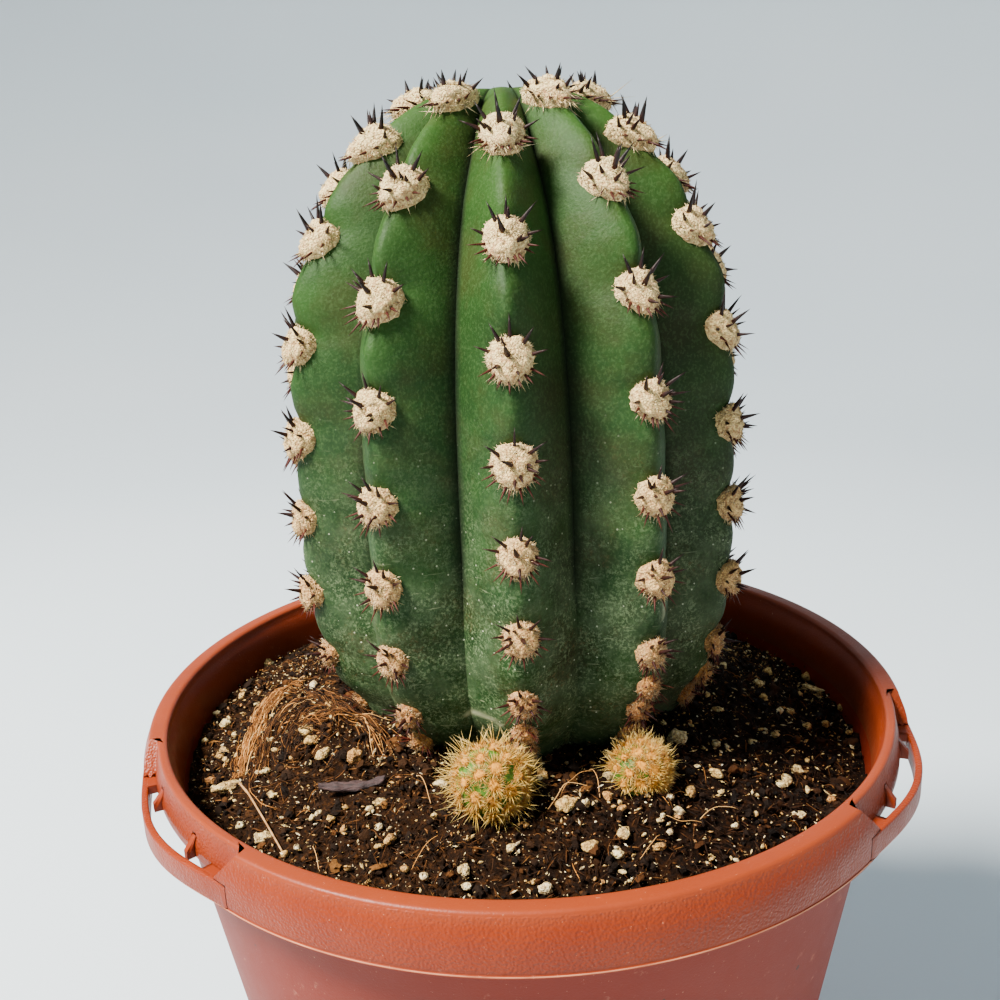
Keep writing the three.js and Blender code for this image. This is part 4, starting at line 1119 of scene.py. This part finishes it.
def add_seen(heap, seen, flatness, lift=0, lift_by_height=0, first_seed=0, fine_above=0):
    """Lumpy grains where the photograph shows them. Those longer than fine_above are finer."""
    for seed, (px, py, long, wide, turn, tone) in enumerate(seen):
        place, scale = seen_on_soil(px, py)
        stretch = np.array([long, wide, flatness * wide]) * scale / 2
        level = 3 if long > fine_above else 2
        points, faces = rough_grain(level, stretch, math.radians(turn), first_seed + seed)
        place[2] = float(soil_height(place[0], place[1])) + (lift + lift_by_height * stretch[2])
        heap.add(points + place, faces, tone=tone)


def add_chips(material):
    heap = Heap()
    add_seen(heap, CHIPS_SEEN, flatness=0.5, lift=0.3, first_seed=400)
    heap.piece("soil_chips", material, "potting_soil")


def add_splinters(material):
    """Short bits of broken fibre, lying every way."""
    rng = np.random.default_rng(14)
    places = spread(rng, SPLINTERS, LOOSE_FROM_RADIUS, SOIL_EDGE_RADIUS - 2.4)
    length = 0.35 + 1.5 * rng.uniform(0, 1, SPLINTERS) ** 2
    width = rng.uniform(0.07, 0.2, SPLINTERS)
    stretch = np.stack([length, width, width * rng.uniform(0.5, 1, SPLINTERS)], axis=1)
    places[:, 2] += rng.uniform(-0.1, 1.0, SPLINTERS)
    add_toned("splinters", material, shards(places, stretch, rng), rng.beta, (1.5, 1.9), 30)


def add_perlite(material):
    rng = np.random.default_rng(9)
    heap = Heap()
    add_seen(heap, GRAINS_SEEN, flatness=0.85, lift_by_height=0.3, fine_above=13)
    for seed, place in enumerate(spread(rng, PERLITE_GRAINS, 33, SOIL_EDGE_RADIUS - 1.5)):
        size = 0.35 + 0.85 * rng.uniform(0, 1) ** 2.2
        stretch = size * np.array([rng.uniform(0.9, 1.7), rng.uniform(0.6, 1.0), rng.uniform(0.5, 0.9)])
        points, faces = rough_grain(2, stretch, rng.uniform(0, math.pi), 100 + seed)
        heap.add(points + place + [0, 0, 0.2 * size + 0.2], faces, tone=rng.uniform(0.1, 0.9))
    heap.piece("perlite", material, "potting_soil")
    places = spread(rng, GRIT, 30, SOIL_EDGE_RADIUS - 1)
    width = 0.09 + 0.22 * rng.uniform(0, 1, GRIT) ** 2
    stretch = np.stack([width * rng.uniform(1, 3.2, GRIT), width, width * 0.7], axis=1)
    places[:, 2] += rng.uniform(0.1, 0.9, GRIT)
    add_toned("grit", material, shards(places, stretch, rng), rng.uniform, (0, 1), 30)


def curled(rng, x, y, turn, length, lift):
    """A loose hair's route over the soil: it wanders, and rises and dips."""
    steps, curl = 6, 0.1
    route = []
    drift = rng.normal(0, curl)
    for step in range(steps + 1):
        z = float(soil_height(x, y)) + lift * math.sin(step / steps * math.pi) + 0.15
        route.append((x, y, z))
        turn += drift + rng.normal(0, curl * 0.6)
        x += math.cos(turn) * length / steps
        y += math.sin(turn) * length / steps
    return route


def on_bed(route):
    """True for a route that keeps clear of the pot's wall and of the stem."""
    return all(stem_foot_radius(math.atan2(y, x)) + 0.8 < math.hypot(x, y) < SOIL_EDGE_RADIUS - 0.8
               for x, y, _ in route)


def add_hair(heap, route, radius, tone):
    """A thin hair along a route, slimmer at both ends."""
    count = len(route)
    radii = [radius * (0.5 + 0.5 * math.sin(math.pi * (s + 0.5) / count)) for s in range(count)]
    heap.add(*tube(route, radii, 3), tone=tone)


def add_soil_hairs(material):
    rng = np.random.default_rng(21)
    heap = Heap()
    for x, y, _ in spread(rng, SOIL_HAIRS, 38, SOIL_EDGE_RADIUS - 3):
        length = rng.uniform(1.2, 4.5) * rng.uniform(0.6, 1.3)
        route = curled(rng, x, y, rng.uniform(0, 2 * math.pi), length, rng.uniform(0.2, 0.9))
        if on_bed(route):
            add_hair(heap, route, rng.uniform(0.03, 0.085), rng.beta(1.5, 2.6))
    for pixels in LONG_HAIRS_SEEN:
        route = seen_route(pixels, 14)
        arch = 1.1 * np.sin(np.linspace(0, math.pi, len(route)))
        route[:, 2] = soil_height(route[:, 0], route[:, 1]) + 0.5 + arch
        heap.add(*tube(route, [0.07] * len(route), 4), tone=rng.uniform(0.85, 1))
    heap.piece("soil_hairs", material, "potting_soil")


def sampled(route, where):
    """Points between those of a route, at places counted in its points."""
    return np.stack([np.interp(where, range(len(route)), route[:, axis]) for axis in range(3)], axis=1)


def through(corners, steps, passes=3):
    """A smooth route of so many steps through a few points."""
    route = sampled(np.asarray(corners), np.linspace(0, len(corners) - 1, steps + 1))
    for _ in range(passes):
        route[1:-1] = (route[:-2] + 2 * route[1:-1] + route[2:]) / 4
    return route


def seen_route(pixels, steps):
    return through([seen_on_soil(px, py)[0] for px, py in pixels], steps)


# Litter


def add_fibre_mat(material):
    """Dry root fibres in a swirl over the root ball: bundles along its edge, and finer, darker
    ones curled over the ball itself."""
    rng = np.random.default_rng(33)
    heap = Heap()
    steps = 12
    for pixels, (number, width, usual) in zip(FIBRES_SEEN, FIBRE_BUNDLES):
        route = seen_route(pixels, 60)
        ahead = unit(np.gradient(route, axis=0))
        aside = unit(np.cross(ahead, [[0, 0, 1.0]]))
        for _ in range(number):
            first = rng.uniform(-0.1, 0.72)
            shares = np.clip(first + np.linspace(0, rng.uniform(0.2, 0.5), steps + 1), 0, 1)
            where = shares * (len(route) - 1)
            line, side = sampled(route, where), sampled(aside, where)
            off = rng.normal(0, width) + rng.normal(0, 1.5) * np.linspace(0, 1, steps + 1)
            off += 0.35 * np.sin(np.linspace(0, rng.uniform(2, 9), steps + 1) + rng.uniform(0, 6))
            line = line + side * off[:, None]
            top = rng.uniform(0.1, 1.6) * math.exp(-(off[0] / (1.6 * width)) ** 2)
            arch = top * np.sin(np.linspace(0.2, 3.0, steps + 1))
            line[:, 2] = soil_height(line[:, 0], line[:, 1]) + 0.3 + arch
            tone = min(max(rng.normal(usual, 0.2), 0.0), 1.0)
            add_fibre(heap, line, rng.uniform(0.035, 0.1), tone)
    ball_x, ball_y, ball_radius, _ = ROOT_BALL
    for _ in range(BALL_FIBRES):
        reach = rng.uniform(3, 0.62 * ball_radius)
        first = rng.uniform(0, 360)
        angles = np.radians(first + np.linspace(0, rng.uniform(12, 50), steps + 1))
        reaches = reach + rng.normal(0, 1.2) * np.linspace(0, 1, steps + 1)
        x, y = ball_x + 1 + reaches * np.cos(angles), ball_y - 4 + reaches * np.sin(angles)
        line = np.stack([x, y, soil_height(x, y) + rng.uniform(0.2, 0.9)], axis=1)
        add_fibre(heap, line, rng.uniform(0.035, 0.085), rng.beta(1.3, 2.9))
    heap.piece("fibre_mat", material, "dry_fibre", node="root_fibres")


def add_fibre(heap, line, radius, tone):
    if np.linalg.norm(line[-1] - line[0]) >= SHORTEST_FIBRE and on_bed(line):
        add_hair(heap, line, radius, tone)


def add_bark(material):
    x0, y0, turn, length, width, thickness = BARK
    turn = math.radians(turn)
    base = float(soil_height(x0, y0)) + 0.75
    columns, sides = 34, 16
    points = []
    for column in range(columns):
        share = 2 * column / (columns - 1) - 1
        half_width = width * 0.5 * (1 - 0.35 * share * share) * (0.85 + 0.15 * math.sin(9 * share))
        half_width *= math.sqrt(max(0.05, 1 - share ** 8))
        bow = 0.8 * share * share
        for angle in around(sides):
            aside = half_width * math.cos(angle)
            up = thickness / 2 * math.sin(angle) + 0.12 * math.sin(3 * angle + 5 * share)
            along = share * length / 2
            points.append((x0 + along * math.cos(turn) - aside * math.sin(turn),
                           y0 + along * math.sin(turn) + aside * math.cos(turn), base + bow + up))
    points = np.array(points)
    points[:, 2] += 0.3 * noise_at(points, 1.0, 5)
    add_piece("bark_piece", points, capped(columns, sides), material, "bark", node="bark_strip")


def add_straw(material):
    corners = [(x, y, float(soil_height(x, y)) + 0.5) for x, y in STRAW_ROUTE]
    count, knot = 40, 9
    radii = [STRAW_RADIUS * (0.62 + 0.25 * math.exp(-((s - knot) / 1.3) ** 2) - 0.15 * s / count)
             for s in range(count)]
    points, faces = tube(through(corners, count - 1, 4), radii, 8)
    add_piece("dry_stalk", points, faces, material, "straw", node="straw")


# Stem


class Crest:
    """Outline of a rib's crest by its length: 0 at the root, 1 at the apex."""

    def __init__(self, outline, samples=3000):
        corners = np.array([(r, LIP + z) for r, z in outline], dtype=float)
        last = len(corners) - 1
        where = np.linspace(0, last, samples)
        index = np.minimum(where.astype(int), last - 1)
        t = (where - index)[:, None]
        p0 = corners[np.maximum(index - 1, 0)]
        p1, p2 = corners[index], corners[index + 1]
        p3 = corners[np.minimum(index + 2, last)]
        v0, v1 = (p2 - p0) / 2, (p3 - p1) / 2
        cubic, square = 2 * p1 - 2 * p2 + v0 + v1, -3 * p1 + 3 * p2 - 2 * v0 - v1
        self.points = cubic * t ** 3 + square * t ** 2 + v0 * t + p1
        steps = np.linalg.norm(np.diff(self.points, axis=0), axis=1)
        self.length = float(steps.sum())
        self.shares = np.concatenate([[0], np.cumsum(steps)]) / self.length

    def at(self, share):
        return np.array([np.interp(share, self.shares, self.points[:, axis]) for axis in (0, 1)])

    def share_at(self, height):
        rising = self.points[: int(0.97 * len(self.points))]
        top = int(np.argmax(rising[:, 1]))
        return float(np.interp(height, rising[:top, 1], self.shares[:top]))


CREST = Crest(CREST_OUTLINE)
AREOLE_SHARES = [CREST.share_at(LIP + height) for height in AREOLE_HEIGHTS]


def areole_number(share):
    """0 at the topmost areole, counting down the crest and on past both ends."""
    numbers = np.arange(len(AREOLE_SHARES))
    step = AREOLE_SHARES[0] - AREOLE_SHARES[1]
    beyond = np.maximum(share - AREOLE_SHARES[0], 0) / step
    below = np.maximum(AREOLE_SHARES[-1] - share, 0) / (AREOLE_SHARES[-2] - AREOLE_SHARES[-1])
    return np.interp(share, AREOLE_SHARES[::-1], numbers[::-1]) - beyond + below


def lobe(first_areole, share):
    """Height of the crest's swelling between two areoles, with a notch over the lower one."""
    height = CREST.at(share)[1] - LIP
    phase = ((areole_number(share) - first_areole) / 2 + NOTCH_ABOVE_AREOLE) % 1
    extra = LOBE_EXTRA * smooth(1 - np.abs(height - LOBE_EXTRA_AT) / LOBE_EXTRA_REACH)
    swell = (LOBE + extra) * np.sin(math.pi * phase ** LOBE_SAG) - NOTCH
    return swell * smooth((LOBE_FADE_FROM - height) / LOBE_FADE)


def groove_share(off_crest):
    """0 on the crest and 1 in the groove, with nearly flat flanks between."""
    rounded = np.sqrt(off_crest ** 2 + CREST_ROUNDING ** 2) - CREST_ROUNDING
    return rounded / (math.sqrt(1 + CREST_ROUNDING ** 2) - CREST_ROUNDING)


def groove_depth(radius, height):
    rise = (height - LIP - GROOVE_LEAST_AT) / (GROOVE_FULL_FROM - GROOVE_LEAST_AT)
    left = GROOVE_LEFT_AT_FOOT + (1 - GROOVE_LEFT_AT_FOOT) * float(smooth(rise))
    return left * min(GROOVE_DEPTH, GROOVE_SHARE_OF_RADIUS * radius), left


def stem_point(share, position):
    """A point of the stem's skin, by its share of the crest's length and its place in ribs."""
    radius, height = CREST.at(share)
    rib = round(position)
    off_crest = abs(position - rib) * 2
    azimuth = math.radians(FIRST_RIB_AZIMUTH + position * RIB_SPACING)
    groove = groove_depth(radius, height)[0] * groove_share(off_crest)
    swell = lobe(FIRST_AREOLE_OF_RIB[rib % RIBS], share) * (1 - off_crest) ** LOBE_SPREAD
    r = radius - groove + swell
    return np.array(polar(r, azimuth, height))


def add_stem(material):
    sides = RIBS * SIDES_PER_RIB
    shares = np.linspace(0, 1, STEM_ROWS + 1)
    places = np.arange(sides) / SIDES_PER_RIB
    nearest = np.round(places)
    off_crest = np.abs(places - nearest) * 2
    ribs = nearest.astype(int) % RIBS
    azimuth = np.radians(FIRST_RIB_AZIMUTH + places * RIB_SPACING)
    points, crest_values = [], []
    for share in shares:
        radius, height = CREST.at(share)
        swells = np.array([lobe(first, share) for first in FIRST_AREOLE_OF_RIB])
        depth, left = groove_depth(radius, height)
        groove = depth * groove_share(off_crest)
        crest_values.append(1 - min(1.0, 1.6 * left - 0.6) * groove_share(off_crest))
        r = radius - groove + swells[ribs] * (1 - off_crest) ** LOBE_SPREAD
        ring = [r * np.cos(azimuth), r * np.sin(azimuth), np.full(sides, height)]
        points.append(np.stack(ring, axis=1))
    points = np.concatenate(points)
    crest_values = np.concatenate(crest_values)
    outward = unit(points * [1, 1, 0])
    waves = 0.45 * noise_at(points, 15, 6) + 0.25 * noise_at(points * [1, 1, 2.2], 6, 7)
    fade = smooth((LIP + 119 - points[:, 2]) / 6)
    points += outward * (waves * fade * (0.35 + 0.65 * crest_values))[:, None]
    scar = scar_marks(points)
    points += outward * (0.12 * scar)[:, None]
    bottom, top = len(points), len(points) + 1
    points = np.concatenate([points, [[0, 0, LIP + ROOT_END], [0, 0, LIP + APEX]]])
    faces = ring_faces(len(shares), sides)
    last = STEM_ROWS * sides
    for side in range(sides):
        after = (side + 1) % sides
        faces.append((bottom, after, side))
        faces.append((top, last + side, last + after))
    values = {"crest": np.append(crest_values, [0, 0]), "scar": np.append(scar, [0, 0]),
              "flank_shade": np.append(shaded_flanks(points[:-2]), [0, 0])}
    add_piece("stem_body", points, faces, material, "cactus_skin", node="stem", values=values,
              smooth_angle=50)


def azimuths_and_heights(points):
    """Degrees round the stem, and millimetres above the lip."""
    return np.degrees(np.arctan2(points[:, 1], points[:, 0])), points[:, 2] - LIP


def scar_marks(points):
    """Old corky marks: a pale arc low on the front and a line beside a rib's crest."""
    azimuth, height = azimuths_and_heights(points)
    off_arc = azimuth - SCAR_ARC
    arc = np.exp(-((height - (10.4 - 0.03 * off_arc ** 2)) / 0.5) ** 2) * (np.abs(off_arc) < 6)
    line = np.exp(-(azimuth - SCAR_LINE) ** 2) * (height > 28) * (height < 36)
    return np.maximum(arc, line * 0.7)


def shaded_flanks(points):
    """Where darker, browner skin is painted as shade: the right flank of the front rib, and the ribs on
    the right.
    """
    azimuth, height = azimuths_and_heights(points)
    front = np.exp(-((azimuth - SHADED_FLANK) / 7.5) ** 2)
    front = front * smooth((height - 4) / 12) * smooth((100 - height) / 30)
    side = smooth((azimuth + 54) / 10) * smooth((60 - azimuth) / 40) * smooth((108 - height) / 20)
    uneven = 0.8 + 0.5 * noise_at(points, 9.0, 12)
    return np.clip((front + 0.75 * side) * uneven, 0, 1)


class Areole:
    """Where an areole sits: its place on the crest, its directions and its age from 0 to 1."""

    def __init__(self, rib, share, age, size):
        self.rib, self.share, self.age, self.size = rib, share, age, size
        step = 1.5 / CREST.length
        self.place = stem_point(share, rib)
        self.along = unit(stem_point(share + step, rib) - stem_point(share - step, rib))
        azimuth = math.radians(FIRST_RIB_AZIMUTH + rib * RIB_SPACING)
        self.across = np.array([-math.sin(azimuth), math.cos(azimuth), 0])
        self.normal = np.cross(self.across, self.along)

    def skin(self, aside, ahead):
        """The point of the skin so many millimetres aside and ahead of the areole."""
        turn = math.degrees(aside / max(math.hypot(self.place[0], self.place[1]), 4.0))
        return stem_point(self.share + ahead / CREST.length, self.rib + turn / RIB_SPACING)


def areoles():
    found = []
    for rib in range(RIBS):
        for number in range(FIRST_AREOLE_OF_RIB[rib], len(AREOLE_HEIGHTS), 2):
            age = number / (len(AREOLE_HEIGHTS) - 1)
            size = 1 - 0.18 * float(smooth(4 * age - 3))
            found.append(Areole(rib, AREOLE_SHARES[number], age, size))
    for rib, height in FOOT_TUFTS:
        found.append(Areole(rib, CREST.share_at(LIP + height), 1.0, FOOT_TUFT_SIZE))
    return found


def felt_dome(ground, lift, wide, long, thickness, seed, rings=14, sides=32):
    """A felt cushion over a patch of ground: ground(aside, ahead) gives the foot of each point
    and lift(aside, ahead) the way up. The edge is tucked in and the surface is uneven."""
    points, low = [], []
    for ring in range(rings):
        share = ring / (rings - 1)
        rise = thickness * math.sin(share * math.pi / 2) ** 0.8 - 0.9 * (1 - share) ** 2
        reach = math.cos(share * math.pi / 2) ** 0.55 if 0 < share < 1 else 0.9 * (1 - share) + 0.02
        for angle in around(sides):
            aside, ahead = wide * reach * math.cos(angle), long * reach * math.sin(angle)
            points.append(ground(aside, ahead) + lift(aside, ahead) * rise)
            low.append(max(0.0, -reach * math.sin(angle) - 0.25) / 0.75)
    points = np.array(points)
    way = np.array([lift(0, 0)])
    rough = 0.34 * noise_at(points, 1.5, seed) + 0.42 * noise_at(points, 0.7, seed + 1)
    rough += 0.2 * noise_at(points, 0.4, seed + 2)
    centre = points.mean(axis=0) - way * 1.5
    points += unit(points - centre) * rough[:, None]
    return points, capped(rings, sides), np.array(low)


def add_wool_and_spines(wool, spine):
    rng = np.random.default_rng(7)
    domes, strands, thorns = Heap(), Heap(), Heap()
    top_limit = float(cad_high.z) / MM - 0.1
    for seed, areole in enumerate(areoles()):
        size = areole.size * rng.uniform(0.95, 1.05)
        long = WOOL_LENGTH * size * (1 - 0.16 * areole.age)
        wide = WOOL_WIDTH * size * (1 - 0.3 * areole.age)
        thickness = WOOL_THICKNESS * size * rng.uniform(0.92, 1.08) * (1 - 0.2 * areole.age)

        def lift(aside, ahead):
            way = areole.normal + areole.across * 0.42 * aside / wide
            way = way + areole.along * 0.2 * ahead / long
            return way / np.linalg.norm(way)

        feet = add_spines(thorns, rng, areole, lift, wide, long, thickness, top_limit)
        points, faces, low = felt_dome(areole.skin, lift, wide, long, thickness, seed)
        near = np.linalg.norm(points[:, None] - feet[None], axis=2).min(axis=1)
        dry = float(areole.size < DRY_SIZE)
        stain = np.exp(-(near / (0.75 + 0.3 * areole.age)) ** 2)
        stain = stain * (0.4 + 0.6 * areole.age) * (1 - 0.8 * dry)
        domes.add(points, faces, age=areole.age, tone=0, low=low, stain=stain)
        count = int(WOOL_STRANDS * (0.55 + 0.45 * areole.size))
        reach, aside, ahead = in_disc(rng, count)
        height = thickness * np.sqrt(np.maximum(0, 1 - reach ** 2.6)) - 0.1
        feet = np.array([areole.skin(wide * a, long * b) + lift(wide * a, long * b) * h
                         for a, b, h in zip(aside, ahead, height)])
        way = (areole.normal * (0.9 - reach)[:, None] + areole.across * aside[:, None]
               + areole.along * ahead[:, None] + rng.normal(0, 0.75, (count, 3)))
        low_rim = (ahead < -0.55) * (reach > 0.7)
        way[:, 2] -= 0.6 * low_rim
        length = rng.uniform(0.45, 0.95, count) * (1 + low_rim * rng.uniform(0, 1.6, count))
        length *= 1 + 0.9 * dry * rng.uniform(0, 1, count)
        length *= 1 + 2.2 * low_rim * rng.uniform(0, 1, count) * max(0.0, 1 - 6 * areole.age)
        radii = rng.uniform(0.07, 0.15, count) * (1 - 0.35 * dry)
        points, faces, _ = cones(feet, way, length, radii, 3)
        points[:, 2] = np.minimum(points[:, 2], top_limit)
        tone = np.repeat(rng.uniform(0, 1, count) ** 1.4, 4)
        below = np.repeat(np.clip(-ahead - 0.2, 0, 1) * rng.uniform(0, 1, count), 4)
        strands.add(points, faces, age=areole.age, tone=tone, low=below, stain=0)
    domes.piece("areole_cushions", wool, "cactus_skin")
    strands.piece("areole_strands", wool, "cactus_skin")
    thorns.piece("spines", spine, "cactus_skin")


def dry_spines(rng):
    return [(rng.uniform(0, 360), rng.uniform(15, 80), rng.uniform(0.5, 0.95), 0.6, 0.45, 0.9)
            for _ in range(DRY_SPINES)]


def fresh_spines(rng, age):
    """Angle, tilt, share of the full length, place from the middle, girth and redness of each."""
    spines = []

    def grow(angle, spread, tilts, shares, root, girth, redness):
        turned = angle + (rng.uniform(-spread, spread) if spread else 0)
        spines.append((turned, rng.uniform(*tilts), rng.uniform(*shares), root, girth, redness))

    for angle in (48, 90, 132):
        grow(angle, 12, (40, 62), (0.8, 1.0), 0.55, 1.0, 0)
    for angle in (8, 172):
        grow(angle, 14, (52, 72), (0.62, 0.85), 0.66, 0.85, 0.1)
    low = 6 + int(rng.integers(0, 4))
    for spine in range(low):
        angle = 196 + 148 * (spine + rng.uniform(0.2, 0.8)) / low
        grow(angle, 0, (60, 78), (0.48, 0.75), 0.74, 0.6, 0.4 + 0.3 * age)
    grow(90, 60, (4, 30), (0.7, 0.95), 0.1, 1.2, 0)
    for _ in range(2 + int(rng.integers(0, 3))):
        angle, tilt, share = rng.uniform(0, 360), rng.uniform(15, 42), rng.uniform(0.5, 0.75)
        spines.append((angle, tilt, share, rng.uniform(0.3, 0.55), 0.95, 0.1))
    return spines


def add_spines(heap, rng, areole, lift, wide, long, thickness, top_limit):
    """Strong dark spines over the areole, thinner and redder ones round its lower rim, and some
    from its middle that rise from the wool. Returns their feet."""
    feet, ways, lengths, radii, red = [], [], [], [], []
    spines = dry_spines(rng) if areole.size < DRY_SIZE else fresh_spines(rng, areole.age)
    for angle, tilt, share, root, girth, redness in spines:
        angle, tilt = math.radians(angle), math.radians(tilt)
        radial = areole.across * math.cos(angle) + areole.along * math.sin(angle)
        way = areole.normal * math.cos(tilt) + radial * math.sin(tilt)
        aside, ahead = wide * root * math.cos(angle), long * root * math.sin(angle)
        foot = areole.skin(aside, ahead) + lift(aside, ahead) * thickness * (0.8 - 0.5 * root)
        length = SPINE_LENGTH * share * (1 - 0.12 * areole.age) * (0.5 + 0.5 * areole.size)
        reach = top_limit - foot[2]
        if way[2] > 0 and way[2] * length > reach:
            length = max(reach / way[2], 1.0)
        feet.append(foot)
        ways.append(way)
        lengths.append(length)
        radii.append(SPINE_RADIUS * girth * rng.uniform(0.85, 1.0) * (1 - 0.3 * areole.age))
        red.append(redness)
    bend = rng.normal(0, 0.15, (len(feet), 3))
    bend[:, 2] = np.minimum(bend[:, 2], 0)
    feet = np.array(feet)
    points, faces, share = cones(feet, np.array(ways), np.array(lengths), np.array(radii), 6, 3, bend)
    heap.add(points, faces, along=share, age=areole.age, red=np.repeat(red, len(points) // len(feet)))
    return feet


# Offsets


class Tuft:
    """One woolly tuft of an offset: its place, directions, size and nearness to the growing tip."""

    def __init__(self, rng, place, normal, crown):
        self.place, self.normal, self.crown = place, normal, crown
        self.size = rng.uniform(0.8, 1.05) + 0.3 * float(crown)
        self.across, self.along = (direction[0] for direction in frames_for(normal[None]))

    def pad(self, seed):
        points, faces, _ = felt_dome(
            lambda aside, ahead: self.place + self.across * aside + self.along * ahead,
            lambda aside, ahead: self.normal, self.size, self.size, 0.7, seed, rings=7, sides=14)
        return points, faces

    def hairs(self, rng):
        count = int(90 + 120 * self.crown)
        _, aside, ahead = in_disc(rng, count)
        off = self.across * aside[:, None] + self.along * ahead[:, None]
        feet = self.place + off * (1.35 * self.size) + self.normal * 0.25
        way = self.normal + off * 0.9 + rng.normal(0, 0.3, (count, 3))
        length, girth = rng.uniform(0.6, 1.6, count), rng.uniform(0.035, 0.065, count)
        points, faces, _ = cones(feet, way, length, girth, 3)
        return points, faces, np.repeat(rng.uniform(0, 1, count) ** 1.5, 4)

    def needles(self, rng, longest):
        """Feet, ways and lengths of the needles, spread all round."""
        count = int(16 + 6 * self.crown)
        angle = (np.arange(count) + rng.uniform(-0.3, 0.3, count)) / count * 2 * math.pi
        tilt = np.radians(rng.uniform(20, 64, count))
        radial = self.across * np.cos(angle)[:, None] + self.along * np.sin(angle)[:, None]
        way = self.normal * np.cos(tilt)[:, None] + radial * np.sin(tilt)[:, None]
        feet = self.place + radial * 0.5 * self.size + self.normal * 0.4
        return feet, way, rng.uniform(0.45, 1.0, count) * longest * (1 - 0.4 * self.crown)


def add_offset(name, x, y, height, radius, tip, longest, seed, skin, wool, needle):
    rng = np.random.default_rng(seed)
    centre = np.array([x, y, LIP + height])
    tip = unit(np.array([tip]))[0]
    towards_stem = unit(np.array([[-x, -y, 0.0]]))[0]
    template, faces = ball_template(5)
    rough = 1 + 0.05 * noise_at(template, 0.45, seed)
    add_piece(name + "_body", centre + template * radius * 0.97 * rough[:, None], faces, skin,
              "offset_wool", node=name)
    first, second = frames_for(tip[None])
    pads, hairs, needles = Heap(), Heap(), Heap()
    for number in range(TUFTS):
        lean = 1 - 2 * (number + 0.5) / TUFTS
        turn = number * GOLDEN_ANGLE
        width = math.sqrt(1 - lean * lean)
        normal = tip * lean + (first[0] * math.cos(turn) + second[0] * math.sin(turn)) * width
        place = centre + normal * radius * 0.95
        above = place[2] - float(soil_height(place[0], place[1]))
        if above < 0.6 or normal @ towards_stem > 0.6:
            continue
        tuft = Tuft(rng, place, normal, smooth((lean - 0.3) / 0.4))
        pads.add(*tuft.pad(seed + number), tone=0.3)
        points, faces, tone = tuft.hairs(rng)
        hairs.add(points, faces, tone=tone)
        feet, way, length = tuft.needles(rng, longest)
        ends = feet + way * length[:, None]
        keep = (way @ towards_stem < 0.75) & (ends[:, 2] > soil_height(ends[:, 0], ends[:, 1]) - 0.2)
        if keep.any():
            girth = rng.uniform(0.055, 0.085, int(keep.sum()))
            points, faces, share = cones(feet[keep], way[keep], length[keep], girth, 3, steps=2)
            needles.add(points, faces, along=share)
    pads.piece(name + "_pads", wool, "offset_wool")
    hairs.piece(name + "_hairs", wool, "offset_wool")
    needles.piece(name + "_needles", needle, "offset_wool")


# Studio


def add_floor(material):
    """A pale floor that sweeps up all round. Sizes are in metres."""
    floor_radius, sweep, wall_top = 0.75, 1.5, 2.2
    outline = [(0.001, 0.0), (0.3, 0.0), (0.5, 0.0), (floor_radius, 0.0)]
    for step in range(1, 25):
        angle = step / 24 * math.pi / 2
        outline.append((floor_radius + sweep * math.sin(angle), sweep * (1 - math.cos(angle))))
    outline.append((floor_radius + sweep, wall_top))
    sides = 96
    points = []
    for radius, height in outline:
        points += [polar(radius, t, height) for t in around(sides)]
    mesh = bpy.data.meshes.new("floor")
    mesh.from_pydata(points, [], [tuple(reversed(face)) for face in ring_faces(len(outline), sides)])
    mesh.polygons.foreach_set("use_smooth", [True] * len(mesh.polygons))
    mesh.materials.append(material)
    new_object("floor", mesh)


def add_light(name, azimuth, elevation, distance, size, power, colour, aim=MIDDLE):
    """A soft round lamp, placed about the middle of the plant, that looks at its aim."""
    across, up = math.radians(azimuth), math.radians(elevation)
    away = Vector((math.cos(across) * math.cos(up), math.sin(across) * math.cos(up), math.sin(up)))
    data = bpy.data.lights.new(name, "AREA")
    data.shape = "DISK"
    data.size = size
    data.energy = power
    data.color = colour
    light = new_object(name, data)
    light.location = MIDDLE + away * distance
    light.rotation_euler = (aim - light.location).to_track_quat("-Z", "Y").to_euler()


def add_lights():
    add_light("key", -151, 52, 1.15, 0.3, 72.0, (1.0, 0.955, 0.89))
    add_light("fill", -45, 30, 1.3, 1.0, 0.8, (0.95, 0.97, 1.0))
    add_light("top", 100, 72, 1.4, 1.0, 3.6, (0.97, 0.98, 1.0))
    add_light("backdrop", 90, 60, 1.2, 1.2, 6.8, (0.9, 0.96, 1.0), Vector((1.3, 2.3, 0.2)))
    world = bpy.data.worlds.new("studio")
    world.use_nodes = True
    background = world.node_tree.nodes["Background"]
    background.inputs["Color"].default_value = (0.82, 0.89, 0.96, 1)
    background.inputs["Strength"].default_value = 0.12
    bpy.context.scene.world = world


def main():
    add_camera()
    add_pot(pot_material())
    crumb, fibre = crumb_material(), fibre_material()
    add_soil_bed(soil_material())
    add_crumbs(crumb)
    add_chips(crumb)
    add_splinters(crumb)
    add_perlite(perlite_material())
    add_soil_hairs(fibre)
    add_fibre_mat(fibre)
    add_bark(bark_material())
    add_straw(straw_material())
    add_stem(stem_material())
    add_wool_and_spines(wool_material(), spine_material())
    materials = offset_skin_material(), offset_wool_material(), needle_material()
    for seed, offset in enumerate(OFFSETS):
        add_offset(*offset, OFFSET_SEED + seed, *materials)
    add_floor(floor_material())
    add_lights()


main()
